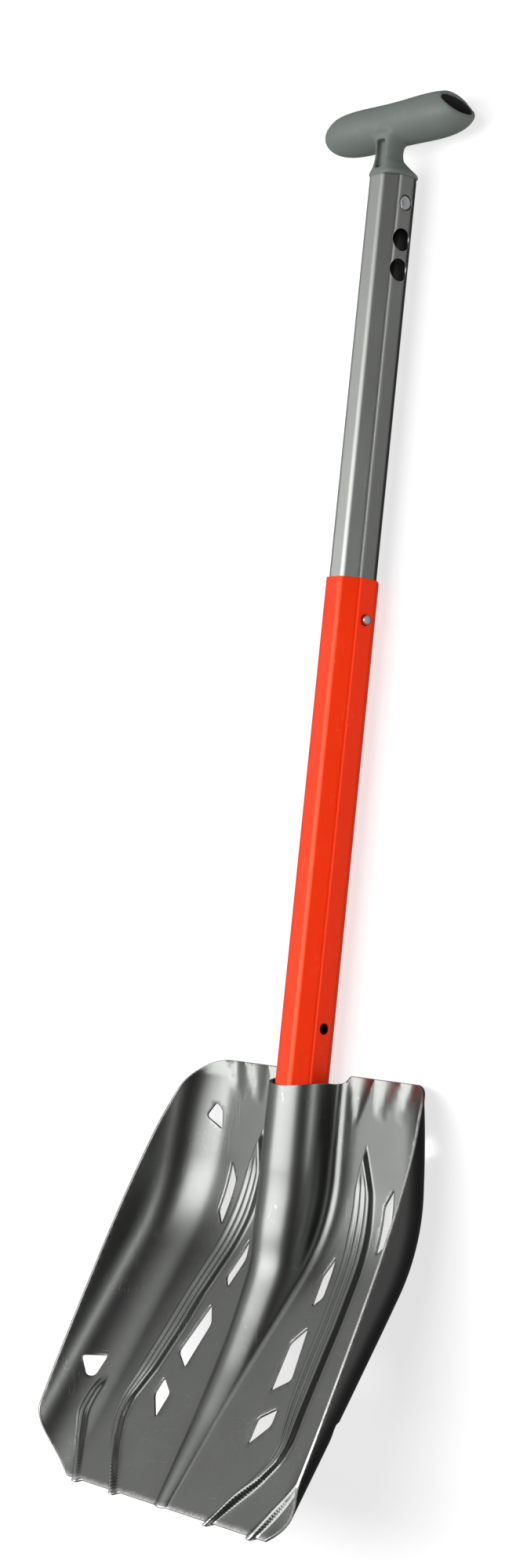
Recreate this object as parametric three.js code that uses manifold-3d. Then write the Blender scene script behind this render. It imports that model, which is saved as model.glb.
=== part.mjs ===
// A take-down avalanche shovel: a deep, ribbed aluminium blade, a two-piece telescoping
// octagonal shaft and a T-grip. Millimetres.
// Every part is drawn with the shaft along +Z and the scoop side towards -Y, from the
// blade's mouth, where the shaft enters at z = 0 with its axis on x = y = 0. The whole
// shovel is then laid on its back, with the scoop up and the grip towards +Y.

import * as THREE from 'three';
import { mergeVertices } from 'three/addons/utils/BufferGeometryUtils.js';
import Module from 'manifold-3d';

const wasm = await Module();
wasm.setup();

// ---------------------------------------------------------------- driving dimensions

const GAP = 0.3; // air between two pieces that touch

// Shaft: two regular octagons, measured across their flats.
const LOWER_FLATS = 30;
const UPPER_FLATS = 27;
const TUBE_WALL = 1.2;
const TUBE_EDGE_RADIUS = 3;
const LOWER_END = -78; // the lower tube's end, inside the blade's socket
const LOWER_TOP = 295;
const UPPER_END = 222;
const UPPER_TOP = 534;

// Locks: a domed button on a bent spring leaf, one for the length, one for the blade.
const LENGTH_BUTTON_Z = 271;
const TELESCOPE_TRAVEL = 237;
const BLADE_BUTTON_Z = -32;
const LENGTH_BUTTON_RADIUS = 2.9;
const BLADE_BUTTON_RADIUS = 4;
const BUTTON_HOLE_PLAY = 0.3;
const LENGTH_BUTTON_STAND = 2.6; // how far a button stands out of the face round it
const BLADE_BUTTON_STAND = 1.2;
const BUTTON_FOOT = 1; // height of the foot, and how much wider it is than the stem
const LEAF_THICKNESS = 0.6;
const LEAF_WIDTH = 8;
const LEAF_LENGTH = 44;
const LEAF_ABOVE_BUTTON = 6;
const LEAF_CLEARANCE = 1.6; // from the bore's wall to the leaf's outer face

// Grip, with its plug, cross rivet and the two cord holes under it.
const GRIP_Z = 567;
const GRIP_LENGTH = 122;
const GRIP_DEPTH = 31;
const GRIP_HEIGHT = 27;
const GRIP_POCKET_TILT = THREE.MathUtils.degToRad(36);
const PLUG_LENGTH = 26;
const RIVET_Z = 518;
const RIVET_RADIUS = 2.5;
const RIVET_HEAD_RADIUS = 4.4;
const RIVET_HEAD_RIM = 0.4;
const RIVET_SUNK = 0.05; // how far the head lies below the tube's flat
const CORD_HOLE_RADIUS = 6.5;
const CORD_HOLES_Z = [496, 478];

// Blade: a flat panel that bends forward below the shaft, with a side wall on each edge.
const SHEET = 1.8;
const BLADE_TOP = 9;
const BLADE_BOTTOM = -237.5;
const MOUTH_DROP = 9; // how much lower the socket's front lip is than the top edge
const PANEL_Y = 13;
const BEND_START = -50;
const BEND_LENGTH = 55;
const LEAN = 0.53; // forward run of the lower panel for each millimetre down
const WALL_RADIUS = 31;
const WALL_TURN = THREE.MathUtils.degToRad(86);
const WALL_START = 88.5; // half width of the flat panel, lower down
const WALL_START_NARROWING = 12; // and how much less it is at the mouth
const WALL_START_FADE = 60;
const RIM_Y = -1.8; // the side rims run straight, from here at the mouth
const RIM_SLOPE = 0.3655;
const TOP_CORNER_RADIUS = 20;
const BOTTOM_CORNER = [36, 32]; // height and width of the sloping lower corner

// Ridge that wraps the shaft and runs out to the cutting edge: [z, half width, height].
const RIDGE = [
  [20, 26, 31.6], [0, 26, 31.6], [-50, 27.5, 31.7], [-70, 27.2, 30.4], [-85, 26.5, 27.5],
  [-106, 24.3, 18.5], [-134, 20, 11.8], [-160, 15.7, 7], [-190, 10.9, 4], [-238, 3.2, 1.6],
];
const CREST_SHARE = 0.78; // share of the ridge's turn that lies in its crest

// Raised rib beside the ridge: [z, inner edge, outer edge], drawn as distances from the middle.
const RIB = [
  [20, 46, 48], [-29, 46, 48], [-55, 42, 58], [-100, 47, 66], [-172, 60, 75],
  [-192, 68, 79], [-238, 39, 46],
];
const RIB_HEIGHT = 3;
const RIB_FLANK = 2.5;

// Cut-outs on one half of the blade, each a ring of [distance from the middle, z].
const CUT_OUTS = [
  [[91, -17], [86, -21], [85, -33], [97, -26]],
  [[73, -50], [66.5, -61], [69.5, -88], [76.5, -80]],
  [[39, -92], [34.5, -104], [38, -121], [44, -115]],
  [[44, -131], [35.5, -141.5], [39, -167.5], [51.5, -159.5]],
  [[52, -174.5], [40, -182], [42, -196.5], [53.5, -184]],
  [[120, -172], [105, -170.5], [106.5, -183], [111.5, -183]],
];
const CUT_OUT_CORNER = 1.5;
const PUNCH_DEPTH = 16;

// Plate that closes the socket behind the shaft.
const PLANE_OF_PLATE = LOWER_FLATS / 2 + GAP; // its front face, just behind the shaft
const PLATE_TOP = 3;
const PLATE_BOTTOM = -56;
const PLATE_WIDTH = 76;
const PLATE_CORNER = 9;

// Six rivets hold the plate: countersunk and flush in front, domed behind.
const PLATE_RIVET_X = 33;
const PLATE_RIVETS_Z = [-3, -26, -49];
const PLATE_RIVET_RADIUS = 1.9;
const PLATE_RIVET_HEAD = 3.4;
const PLATE_RIVET_RIM = 0.2;
const PLATE_RIVET_DOME = 1.4;
const PLATE_RIVET_GAP = 0.2;

// ---------------------------------------------------------------- materials

function metal(color, roughness) {
  return new THREE.MeshStandardMaterial({ color, roughness, metalness: 1 });
}

function plastic(color, roughness) {
  return new THREE.MeshStandardMaterial({ color, roughness, metalness: 0 });
}

const BLADE_ALUMINIUM = metal(0x6f7270, 0.38);
const UPPER_ALUMINIUM = metal(0x8b8d8a, 0.35);
const LOWER_ANODISED = metal(0xff3005, 0.3);
const SPRING_STEEL = metal(0xa9abad, 0.3);
const GRIP_PLASTIC = plastic(0x69706a, 0.6);
const BLACK_PLASTIC = plastic(0x161616, 0.55);

// ---------------------------------------------------------------- solids

// Keeps only the corners of a closed geometry, each shared by the faces that meet there.
function welded(geometry) {
  const bare = geometry.index ? geometry.toNonIndexed() : geometry.clone();
  bare.deleteAttribute('normal');
  bare.deleteAttribute('uv');
  return mergeVertices(bare, 1e-4);
}

function toSolid(geometry) {
  const merged = welded(geometry);
  return new wasm.Manifold(new wasm.Mesh({
    numProp: 3,
    vertProperties: new Float32Array(merged.attributes.position.array),
    triVerts: new Uint32Array(merged.index.array),
  }));
}

function toGeometry(solid) {
  const mesh = solid.getMesh();
  const geometry = new THREE.BufferGeometry();
  geometry.setAttribute('position', new THREE.BufferAttribute(new Float32Array(mesh.vertProperties), 3));
  geometry.setIndex(new THREE.BufferAttribute(new Uint32Array(mesh.triVerts), 1));
  return geometry;
}

function cutAway(geometry, cutters) {
  let solid = toSolid(geometry);
  for (const cutter of cutters) {
    solid = solid.subtract(toSolid(cutter));
  }
  return toGeometry(solid);
}

function joined(geometries) {
  const [first, ...others] = geometries.map(toSolid);
  return toGeometry(others.reduce((whole, next) => whole.add(next), first));
}

// A polygon with each corner rounded off by a curve that starts cornerCut along its sides.
function roundedRing(corners, cornerCut, path = new THREE.Shape()) {
  const points = corners.map(([x, y]) => new THREE.Vector2(x, y));
  points.forEach((corner, i) => {
    const before = points[(i + points.length - 1) % points.length];
    const after = points[(i + 1) % points.length];
    const arrive = corner.clone().add(before.clone().sub(corner).setLength(cornerCut));
    const leave = corner.clone().add(after.clone().sub(corner).setLength(cornerCut));
    if (i === 0) {
      path.moveTo(arrive.x, arrive.y);
    } else {
      path.lineTo(arrive.x, arrive.y);
    }
    path.quadraticCurveTo(corner.x, corner.y, leave.x, leave.y);
  });
  path.closePath();
  return path;
}

function octagonCorners(flats) {
  const radius = flats / 2 / Math.cos(Math.PI / 8);
  return Array.from({ length: 8 }, (_, i) => {
    const angle = Math.PI / 8 + (i * Math.PI) / 4;
    return [radius * Math.cos(angle), radius * Math.sin(angle)];
  });
}

function octagonTube(flats, bottom, top) {
  const outline = roundedRing(octagonCorners(flats), TUBE_EDGE_RADIUS * 0.6);
  const bore = roundedRing(octagonCorners(flats - 2 * TUBE_WALL), TUBE_EDGE_RADIUS * 0.5, new THREE.Path());
  outline.holes.push(bore);
  return new THREE.ExtrudeGeometry(outline, { depth: top - bottom, bevelEnabled: false, curveSegments: 3 })
    .translate(0, 0, bottom);
}

function octagonBar(flats, bottom, top) {
  const outline = roundedRing(octagonCorners(flats), TUBE_EDGE_RADIUS * 0.5);
  return new THREE.ExtrudeGeometry(outline, { depth: top - bottom, bevelEnabled: false, curveSegments: 3 })
    .translate(0, 0, bottom);
}

// A drill along +X or +Y, from one distance out to another.
function drill(radius, z, from, to, alongY = false) {
  const bit = new THREE.CylinderGeometry(radius, radius, to - from, 24)
    .translate(0, (from + to) / 2, 0);
  if (!alongY) {
    bit.rotateZ(-Math.PI / 2);
  }
  return bit.translate(0, 0, z);
}

// ---------------------------------------------------------------- blade surface

// Reads a table of rows [z, ...values] at a height z, with straight runs between its rows.
function readTable(table, z, column) {
  const last = table.findIndex((row) => row[0] <= z);
  const [above, below] = [table[last - 1], table[last]];
  const share = (above[0] - z) / (above[0] - below[0]);
  return above[column] + (below[column] - above[column]) * share;
}

// How far forward or back the flat panel lies at a height: straight, an arc, then a slope.
function panelY(z) {
  const radius = BEND_LENGTH / Math.sin(Math.atan(LEAN));
  const below = BEND_START - z;
  const inBend = THREE.MathUtils.clamp(below, 0, BEND_LENGTH);
  const sag = radius - Math.sqrt(radius * radius - inBend * inBend);
  return PANEL_Y - sag - LEAN * Math.max(below - BEND_LENGTH, 0);
}

function wallStart(z) {
  return WALL_START - WALL_START_NARROWING * Math.exp(Math.min(z, 0) / WALL_START_FADE);
}

// Distance along the section from the middle to the rim, before the corners are rounded.
function fullReach(z) {
  const depth = panelY(z) - (RIM_Y + RIM_SLOPE * z);
  const arcDepth = WALL_RADIUS * (1 - Math.cos(WALL_TURN));
  if (depth < arcDepth) {
    return wallStart(z) + WALL_RADIUS * Math.acos(1 - depth / WALL_RADIUS);
  }
  return wallStart(z) + WALL_RADIUS * WALL_TURN + (depth - arcDepth) / Math.sin(WALL_TURN);
}

function reach(z) {
  const intoTop = Math.max(TOP_CORNER_RADIUS - (BLADE_TOP - z), 0);
  const topLoss = TOP_CORNER_RADIUS - Math.sqrt(TOP_CORNER_RADIUS ** 2 - intoTop ** 2);
  const [cornerHeight, cornerWidth] = BOTTOM_CORNER;
  const intoBottom = Math.max(1 - (z - BLADE_BOTTOM) / cornerHeight, 0);
  return fullReach(z) - topLoss - cornerWidth * intoBottom ** 1.5;
}

// Point of the front face on the panel or wall, at a distance along the section.
function panelPoint(along, z) {
  const onWall = Math.max(along - wallStart(z), 0);
  const turn = Math.min(onWall / WALL_RADIUS, WALL_TURN);
  const straight = onWall - WALL_RADIUS * turn;
  const x = Math.min(along, wallStart(z)) + WALL_RADIUS * Math.sin(turn) + straight * Math.cos(WALL_TURN);
  const y = panelY(z) - WALL_RADIUS * (1 - Math.cos(turn)) - straight * Math.sin(WALL_TURN);
  return [x, y];
}

// The ridge's right half, from its crest to its foot: an arc, a straight flank if the ridge
// is taller than it is wide, and a hollow arc that meets the panel.
function ridgePoints(z, steps) {
  const width = readTable(RIDGE, z, 1);
  const height = readTable(RIDGE, z, 2);
  const turn = Math.min(2 * Math.atan(height / width), Math.PI / 2);
  const radius = width / Math.sin(turn);
  const crestRadius = radius * CREST_SHARE;
  const footRadius = radius - crestRadius;
  const points = [];
  for (let i = 0; i <= steps; i += 1) {
    const angle = (turn * i) / steps;
    points.push([crestRadius * Math.sin(angle), panelY(z) - height + crestRadius * (1 - Math.cos(angle))]);
  }
  for (let i = steps; i >= 0; i -= 1) {
    const angle = (turn * i) / steps;
    points.push([width - footRadius * Math.sin(angle), panelY(z) - footRadius * (1 - Math.cos(angle))]);
  }
  return points;
}

// The rib's four lines: foot, shoulder, shoulder, foot. It starts from nothing at its tip.
function ribPoints(z) {
  const inner = readTable(RIB, z, 1);
  const outer = readTable(RIB, z, 2);
  const flank = Math.min(RIB_FLANK, (outer - inner) / 2 - 0.2);
  const rise = (RIB_HEIGHT * Math.min(outer - inner - 2, 7)) / 7;
  const lines = [[inner, 0], [inner + flank, rise], [outer - flank, rise], [outer, 0]];
  return lines.map(([x, lift]) => [x, panelY(z) - lift]);
}

const RIDGE_STEPS = 5;
const WALL_STEPS = 7;

// One section of the front face, right half, from the middle out to the rim.
function halfSection(z) {
  const points = [...ridgePoints(z, RIDGE_STEPS), ...ribPoints(z)];
  const flat = Math.min(wallStart(z), reach(z));
  points.push([flat, panelY(z)]);
  for (let i = 1; i <= WALL_STEPS; i += 1) {
    points.push(panelPoint(flat + ((reach(z) - flat) * i) / WALL_STEPS, z));
  }
  return points;
}

// Heights of the rows: close together where a corner rounds, even between.
function rowHeights() {
  const rows = [];
  for (let i = 0; i < 4; i += 1) {
    rows.push(BLADE_TOP - TOP_CORNER_RADIUS * (1 - Math.cos((i * Math.PI) / 8)));
  }
  const start = BLADE_TOP - TOP_CORNER_RADIUS;
  const end = BLADE_BOTTOM + BOTTOM_CORNER[0];
  for (let i = 0; i <= 16; i += 1) {
    rows.push(start + ((end - start) * i) / 16);
  }
  for (let i = 1; i <= 5; i += 1) {
    rows.push(end - (BOTTOM_CORNER[0] * i) / 5);
  }
  return rows;
}

// Rows near the top dip at the ridge, so that the socket's lip is lower than the top edge.
function mouthDip(x, z) {
  const ridgeHalf = readTable(RIDGE, 0, 1);
  const across = Math.max(1 - (x / ridgeHalf) ** 2, 0);
  const down = THREE.MathUtils.clamp((z - BEND_START) / (BLADE_TOP - BEND_START), 0, 1);
  return MOUTH_DROP * Math.sqrt(across) * down;
}

function frontRows() {
  return rowHeights().map((z) => {
    const right = halfSection(z).map(([x, y]) => new THREE.Vector3(x, y, z - mouthDip(x, z)));
    const left = right.slice(1).reverse().map((p) => new THREE.Vector3(-p.x, p.y, p.z));
    return [...left, ...right];
  });
}

// The sheet: the front face, and the same face moved back along its own normals.
function bladeSheet() {
  const front = frontRows();
  const rowCount = front.length;
  const columnCount = front[0].length;
  const at = (row, column) => front[THREE.MathUtils.clamp(row, 0, rowCount - 1)][
    THREE.MathUtils.clamp(column, 0, columnCount - 1)];
  const back = front.map((row, r) => row.map((point, c) => {
    const across = at(r, c + 1).clone().sub(at(r, c - 1));
    const down = at(r + 1, c).clone().sub(at(r - 1, c));
    return point.clone().addScaledVector(across.cross(down).normalize(), SHEET);
  }));
  const positions = [];
  const triangle = (...corners) => corners.forEach((p) => positions.push(p.x, p.y, p.z));
  const quad = (a, b, c, d) => {
    triangle(a, b, c);
    triangle(a, c, d);
  };
  for (let r = 0; r < rowCount - 1; r += 1) {
    for (let c = 0; c < columnCount - 1; c += 1) {
      quad(front[r][c], front[r + 1][c], front[r + 1][c + 1], front[r][c + 1]);
      quad(back[r][c], back[r][c + 1], back[r + 1][c + 1], back[r + 1][c]);
    }
    const end = columnCount - 1;
    quad(front[r][0], back[r][0], back[r + 1][0], front[r + 1][0]);
    quad(front[r][end], front[r + 1][end], back[r + 1][end], back[r][end]);
  }
  for (let c = 0; c < columnCount - 1; c += 1) {
    const end = rowCount - 1;
    quad(front[0][c], front[0][c + 1], back[0][c + 1], back[0][c]);
    quad(front[end][c], back[end][c], back[end][c + 1], front[end][c + 1]);
  }
  const geometry = new THREE.BufferGeometry();
  geometry.setAttribute('position', new THREE.Float32BufferAttribute(positions, 3));
  return geometry;
}

// A punch for one cut-out, square to the sheet at the middle of the cut-out.
function punch(ring, side) {
  const along = ring.reduce((sum, [a]) => sum + a, 0) / ring.length;
  const z = ring.reduce((sum, [, b]) => sum + b, 0) / ring.length;
  const place = (a, b) => {
    const [x, y] = panelPoint(a, b);
    return new THREE.Vector3(side * x, y, b);
  };
  const origin = place(along, z);
  const across = place(along + 1, z).sub(place(along - 1, z)).multiplyScalar(side / 2);
  const up = place(along, z + 1).sub(place(along, z - 1)).divideScalar(2);
  const outwards = across.clone().cross(up).normalize();
  const local = ring.map(([a, b]) => [side * (a - along), (b - z) * up.length()]);
  const shape = roundedRing(local, CUT_OUT_CORNER);
  return new THREE.ExtrudeGeometry(shape, { depth: PUNCH_DEPTH, bevelEnabled: false, curveSegments: 2 })
    .translate(0, 0, -PUNCH_DEPTH / 2)
    .applyMatrix4(new THREE.Matrix4().makeBasis(across.normalize(), up.normalize(), outwards))
    .translate(origin.x, origin.y, origin.z);
}

// A countersunk rivet along +Y from the panel's front face, grown all round by extra.
// Its countersink starts a little in front of the face when it is used as a cutter.
function plateRivetShape(extra, tail) {
  const head = PLATE_RIVET_HEAD + extra;
  const shank = PLATE_RIVET_RADIUS + extra;
  const profile = new THREE.Path();
  profile.moveTo(0, -4 * extra);
  profile.lineTo(head, -4 * extra);
  profile.lineTo(head, PLATE_RIVET_RIM);
  profile.lineTo(shank, head - shank + PLATE_RIVET_RIM);
  if (extra > 0) {
    profile.lineTo(shank, tail);
    profile.lineTo(0, tail);
  } else {
    profile.lineTo(shank, tail);
    profile.lineTo(head, tail);
    profile.quadraticCurveTo(head, tail + PLATE_RIVET_DOME, 0, tail + PLATE_RIVET_DOME);
  }
  return new THREE.LatheGeometry(profile.getPoints(4), 20);
}

function plateRivetPlaces() {
  return [1, -1].flatMap((side) => PLATE_RIVETS_Z.map((z) => [side * PLATE_RIVET_X, PANEL_Y, z]));
}

function plateRivetCutters() {
  return plateRivetPlaces().map((spot) => plateRivetShape(PLATE_RIVET_GAP, 10).translate(...spot));
}

function plateRivet() {
  return plateRivetShape(0, PLANE_OF_PLATE + SHEET + GAP - PANEL_Y);
}

function blade() {
  const punches = [1, -1].flatMap((side) => CUT_OUTS.map((ring) => punch(ring, side)));
  return cutAway(bladeSheet(), [...punches, ...plateRivetCutters()]);
}

function socketBackPlate() {
  const half = PLATE_WIDTH / 2;
  const corners = [[-half, PLATE_BOTTOM], [half, PLATE_BOTTOM], [half, PLATE_TOP], [-half, PLATE_TOP]];
  const plate = new THREE.ExtrudeGeometry(roundedRing(corners, PLATE_CORNER), {
    depth: SHEET, bevelEnabled: false, curveSegments: 6,
  }).rotateX(Math.PI / 2).translate(0, PLANE_OF_PLATE + SHEET, 0);
  const hole = drill(BLADE_BUTTON_RADIUS + BUTTON_HOLE_PLAY, BLADE_BUTTON_Z, 0, 40, true);
  return cutAway(plate, [hole, ...plateRivetCutters()]);
}

// ---------------------------------------------------------------- shaft

function lowerShaft() {
  const lengthHole = LENGTH_BUTTON_RADIUS + BUTTON_HOLE_PLAY;
  const bladeHole = BLADE_BUTTON_RADIUS + BUTTON_HOLE_PLAY;
  return cutAway(octagonTube(LOWER_FLATS, LOWER_END, LOWER_TOP), [
    drill(lengthHole, LENGTH_BUTTON_Z, 5, 40),
    drill(lengthHole, LENGTH_BUTTON_Z - TELESCOPE_TRAVEL, 5, 40),
    drill(bladeHole, BLADE_BUTTON_Z, 5, 40, true),
  ]);
}

function lowerEndPlug() {
  const bore = LOWER_FLATS - 2 * TUBE_WALL;
  const cap = octagonBar(LOWER_FLATS - 1, LOWER_END - 2, LOWER_END - GAP);
  const body = octagonBar(bore - 2 * GAP, LOWER_END - 1, LOWER_END + 7);
  return joined([cap, body]);
}

function upperShaft() {
  return cutAway(octagonTube(UPPER_FLATS, UPPER_END, UPPER_TOP), [
    drill(LENGTH_BUTTON_RADIUS + BUTTON_HOLE_PLAY, LENGTH_BUTTON_Z, 5, 40),
    ...CORD_HOLES_Z.map((z) => drill(CORD_HOLE_RADIUS, z, -UPPER_FLATS, UPPER_FLATS)),
    gripRivetCutter(),
  ]);
}

// A plastic bush that keeps the inner tube's end centred and quiet.
function guideBush() {
  const bore = UPPER_FLATS - 2 * TUBE_WALL;
  const flange = octagonBar(UPPER_FLATS - 0.4, UPPER_END - 2.5, UPPER_END - GAP);
  const body = octagonBar(bore - 2 * GAP, UPPER_END - 1, UPPER_END + 9);
  const through = new THREE.CylinderGeometry(8, 8, 40, 24).rotateX(Math.PI / 2).translate(0, 0, UPPER_END);
  return cutAway(joined([flange, body]), [through]);
}

// A spring leaf bent to a U that bears on both walls of a bore, drawn in the plane of its
// button and opening upwards. One leg carries the button.
function springLeaf(bore, buttonZ) {
  const outer = bore / 2 - LEAF_CLEARANCE;
  const top = buttonZ + LEAF_ABOVE_BUTTON;
  const middle = top - LEAF_LENGTH + outer;
  const inner = outer - LEAF_THICKNESS;
  const shape = new THREE.Shape();
  shape.moveTo(outer, top);
  shape.lineTo(inner, top);
  shape.lineTo(inner, middle);
  shape.absarc(0, middle, inner, 0, -Math.PI, true);
  shape.lineTo(-inner, top);
  shape.lineTo(-outer, top);
  shape.lineTo(-outer, middle);
  shape.absarc(0, middle, outer, -Math.PI, 0, false);
  return new THREE.ExtrudeGeometry(shape, { depth: LEAF_WIDTH, bevelEnabled: false, curveSegments: 12 })
    .rotateX(Math.PI / 2)
    .translate(0, LEAF_WIDTH / 2, 0);
}

// A button that stands on the spring leaf: a foot, a stem through the walls and a dome.
function lockButton(bore, radius, tip) {
  const foot = bore / 2 - LEAF_CLEARANCE + GAP;
  const profile = new THREE.Path();
  profile.moveTo(0, foot);
  profile.lineTo(radius + BUTTON_FOOT, foot);
  profile.lineTo(radius + BUTTON_FOOT, foot + BUTTON_FOOT);
  profile.lineTo(radius, foot + BUTTON_FOOT);
  profile.lineTo(radius, tip - radius * 0.6);
  profile.bezierCurveTo(radius, tip - radius * 0.25, radius * 0.55, tip, 0, tip);
  return new THREE.LatheGeometry(profile.getPoints(8), 24);
}

// ---------------------------------------------------------------- grip

// The bar: a body of revolution about X, flattened to its height, then hollowed at both ends.
function gripBar() {
  const half = GRIP_LENGTH / 2;
  const radius = GRIP_DEPTH / 2;
  const profile = new THREE.Path();
  profile.moveTo(0, -half);
  profile.bezierCurveTo(radius * 0.62, -half, radius, -half + radius * 0.55, radius, -half + radius * 1.15);
  profile.quadraticCurveTo(radius * 0.92, 0, radius, half - radius * 1.15);
  profile.bezierCurveTo(radius, half - radius * 0.55, radius * 0.62, half, 0, half);
  return new THREE.LatheGeometry(profile.getPoints(8), 32)
    .rotateZ(-Math.PI / 2)
    .scale(1, 1, GRIP_HEIGHT / GRIP_DEPTH)
    .translate(0, 0, GRIP_Z);
}

// An oval pocket that opens at one end of the bar, up and outwards.
function gripPocket(side) {
  return new THREE.CylinderGeometry(1, 0.9, 60, 28)
    .scale(8.5, 1, 12.5)
    .translate(0, 30, 0)
    .rotateZ(-Math.PI / 2 + GRIP_POCKET_TILT)
    .rotateX(Math.PI / 2)
    .translate(GRIP_LENGTH / 2 - 26, 0, GRIP_Z - 1)
    .rotateZ(side > 0 ? 0 : Math.PI);
}

// The neck: an oval stem that flares into the bar and into a low dome on top of the tube.
function gripNeck() {
  const dome = UPPER_TOP + GAP;
  const profile = new THREE.Path();
  profile.moveTo(0, dome);
  profile.lineTo(12.6, dome);
  profile.lineTo(12.6, dome + 1.5);
  profile.bezierCurveTo(12.2, dome + 5, 8.4, dome + 5, 8.2, dome + 9);
  profile.quadraticCurveTo(8.4, GRIP_Z - 16, 13, GRIP_Z - 8);
  profile.lineTo(0, GRIP_Z - 8);
  return new THREE.LatheGeometry(profile.getPoints(6), 28).rotateX(Math.PI / 2).scale(1, 0.96, 1);
}

function gripPlug() {
  const bore = UPPER_FLATS - 2 * TUBE_WALL;
  return octagonBar(bore - 2 * GAP, UPPER_TOP - PLUG_LENGTH, UPPER_TOP + 1);
}

function grip() {
  const solid = joined([gripBar(), gripNeck(), gripPlug()]);
  const recess = new THREE.BoxGeometry(7, 5, 17).translate(0, -8.4, UPPER_TOP + 13);
  const backRecess = recess.clone().translate(0, 16.8, 0);
  return cutAway(solid, [gripPocket(1), gripPocket(-1), recess, backRecess, gripRivetCutter()]);
}

// A solid rivet right through the tube and the grip's plug, countersunk at both ends so
// that the upper tube still slides into the lower one. Grown all round by extra.
function gripRivetShape(extra) {
  const head = RIVET_HEAD_RADIUS + extra;
  const shank = RIVET_RADIUS + extra;
  const face = UPPER_FLATS / 2 - RIVET_SUNK;
  const end = face + 4 * extra;
  const rim = face - RIVET_HEAD_RIM;
  const neck = rim - (head - shank);
  const corners = [
    [0, -end], [head, -end], [head, -rim], [shank, -neck],
    [shank, neck], [head, rim], [head, end], [0, end],
  ];
  return new THREE.LatheGeometry(corners.map(([x, y]) => new THREE.Vector2(x, y)), 24)
    .rotateZ(-Math.PI / 2);
}

function gripRivetCutter() {
  return gripRivetShape(GAP).translate(0, 0, RIVET_Z);
}

// ---------------------------------------------------------------- assembly

const shovel = new THREE.Group();

function place(name, geometry, material, rotation = [0, 0, 0], position = [0, 0, 0]) {
  const mesh = new THREE.Mesh(welded(geometry), material);
  mesh.name = name;
  mesh.rotation.set(...rotation);
  mesh.position.set(...position);
  shovel.add(mesh);
}

const LOWER_BORE = LOWER_FLATS - 2 * TUBE_WALL;
const UPPER_BORE = UPPER_FLATS - 2 * TUBE_WALL;
const TO_X = [0, 0, -Math.PI / 2];
const QUARTER_TURN = [0, 0, Math.PI / 2];
const plateBack = PLANE_OF_PLATE + SHEET;
const shaftFace = LOWER_FLATS / 2;

place('blade', blade(), BLADE_ALUMINIUM);
place('socket_back_plate', socketBackPlate(), BLADE_ALUMINIUM);
plateRivetPlaces().forEach((spot, i) => {
  place(`socket_rivet_${i + 1}`, plateRivet(), BLADE_ALUMINIUM, [0, 0, 0], spot);
});
place('lower_shaft', lowerShaft(), LOWER_ANODISED);
place('lower_end_plug', lowerEndPlug(), BLACK_PLASTIC);
place('blade_lock_spring', springLeaf(LOWER_BORE, BLADE_BUTTON_Z), SPRING_STEEL, QUARTER_TURN);
place('blade_lock_button', lockButton(LOWER_BORE, BLADE_BUTTON_RADIUS, plateBack + BLADE_BUTTON_STAND),
  SPRING_STEEL, [0, 0, 0], [0, 0, BLADE_BUTTON_Z]);
place('upper_shaft', upperShaft(), UPPER_ALUMINIUM);
place('upper_guide_bush', guideBush(), BLACK_PLASTIC);
place('length_lock_spring', springLeaf(UPPER_BORE, LENGTH_BUTTON_Z), SPRING_STEEL);
place('length_lock_button', lockButton(UPPER_BORE, LENGTH_BUTTON_RADIUS, shaftFace + LENGTH_BUTTON_STAND),
  SPRING_STEEL, TO_X, [0, 0, LENGTH_BUTTON_Z]);
place('grip', grip(), GRIP_PLASTIC);
place('grip_rivet', gripRivetShape(0), UPPER_ALUMINIUM, [0, 0, 0], [0, 0, RIVET_Z]);

// Lay the shovel on its back, centred over the origin.
shovel.rotation.x = -Math.PI / 2;
const box = new THREE.Box3().setFromObject(shovel);
shovel.position.set(-(box.min.x + box.max.x) / 2, -(box.min.y + box.max.y) / 2, -box.min.z);

const group = new THREE.Group();
group.add(shovel);

export default group;
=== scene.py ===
import math
import bmesh
import bpy
import numpy as np
from bpy.props import FloatProperty, FloatVectorProperty, PointerProperty
from mathutils import Matrix, Vector, geometry


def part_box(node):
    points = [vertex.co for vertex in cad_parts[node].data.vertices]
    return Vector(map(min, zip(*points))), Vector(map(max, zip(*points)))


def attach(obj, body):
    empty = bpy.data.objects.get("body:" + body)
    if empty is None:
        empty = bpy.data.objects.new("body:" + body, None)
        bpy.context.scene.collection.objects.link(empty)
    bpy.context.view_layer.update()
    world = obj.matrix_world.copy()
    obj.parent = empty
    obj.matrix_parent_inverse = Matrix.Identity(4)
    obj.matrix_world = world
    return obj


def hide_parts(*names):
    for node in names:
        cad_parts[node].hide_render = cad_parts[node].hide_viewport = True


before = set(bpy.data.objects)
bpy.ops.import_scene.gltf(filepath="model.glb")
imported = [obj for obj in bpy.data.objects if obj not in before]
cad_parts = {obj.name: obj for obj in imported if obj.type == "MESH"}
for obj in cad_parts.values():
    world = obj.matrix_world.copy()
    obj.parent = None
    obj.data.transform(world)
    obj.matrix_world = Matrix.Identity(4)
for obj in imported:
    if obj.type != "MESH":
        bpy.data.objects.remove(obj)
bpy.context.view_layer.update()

bl_info = {
    "name": "Avalanche Shovel",
    "version": (1, 0, 0),
    "blender": (4, 5, 0),
    "location": "3D View > Sidebar > Shovel",
    "description": "Builds the blade, shaft, locks and grip of a take-down avalanche shovel",
    "category": "Object",
}

# The shovel is drawn in millimetres: x across the blade, y from the scoop to the back,
# z up the shaft from the socket's mouth. It lies on its back in the frame.
BLADE_TOP, BLADE_BOTTOM = 9, -237.5
AXIS_HEIGHT = sum(corner.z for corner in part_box("lower_shaft")) / 2
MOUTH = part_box("blade")[1].y - BLADE_TOP / 1000

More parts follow.
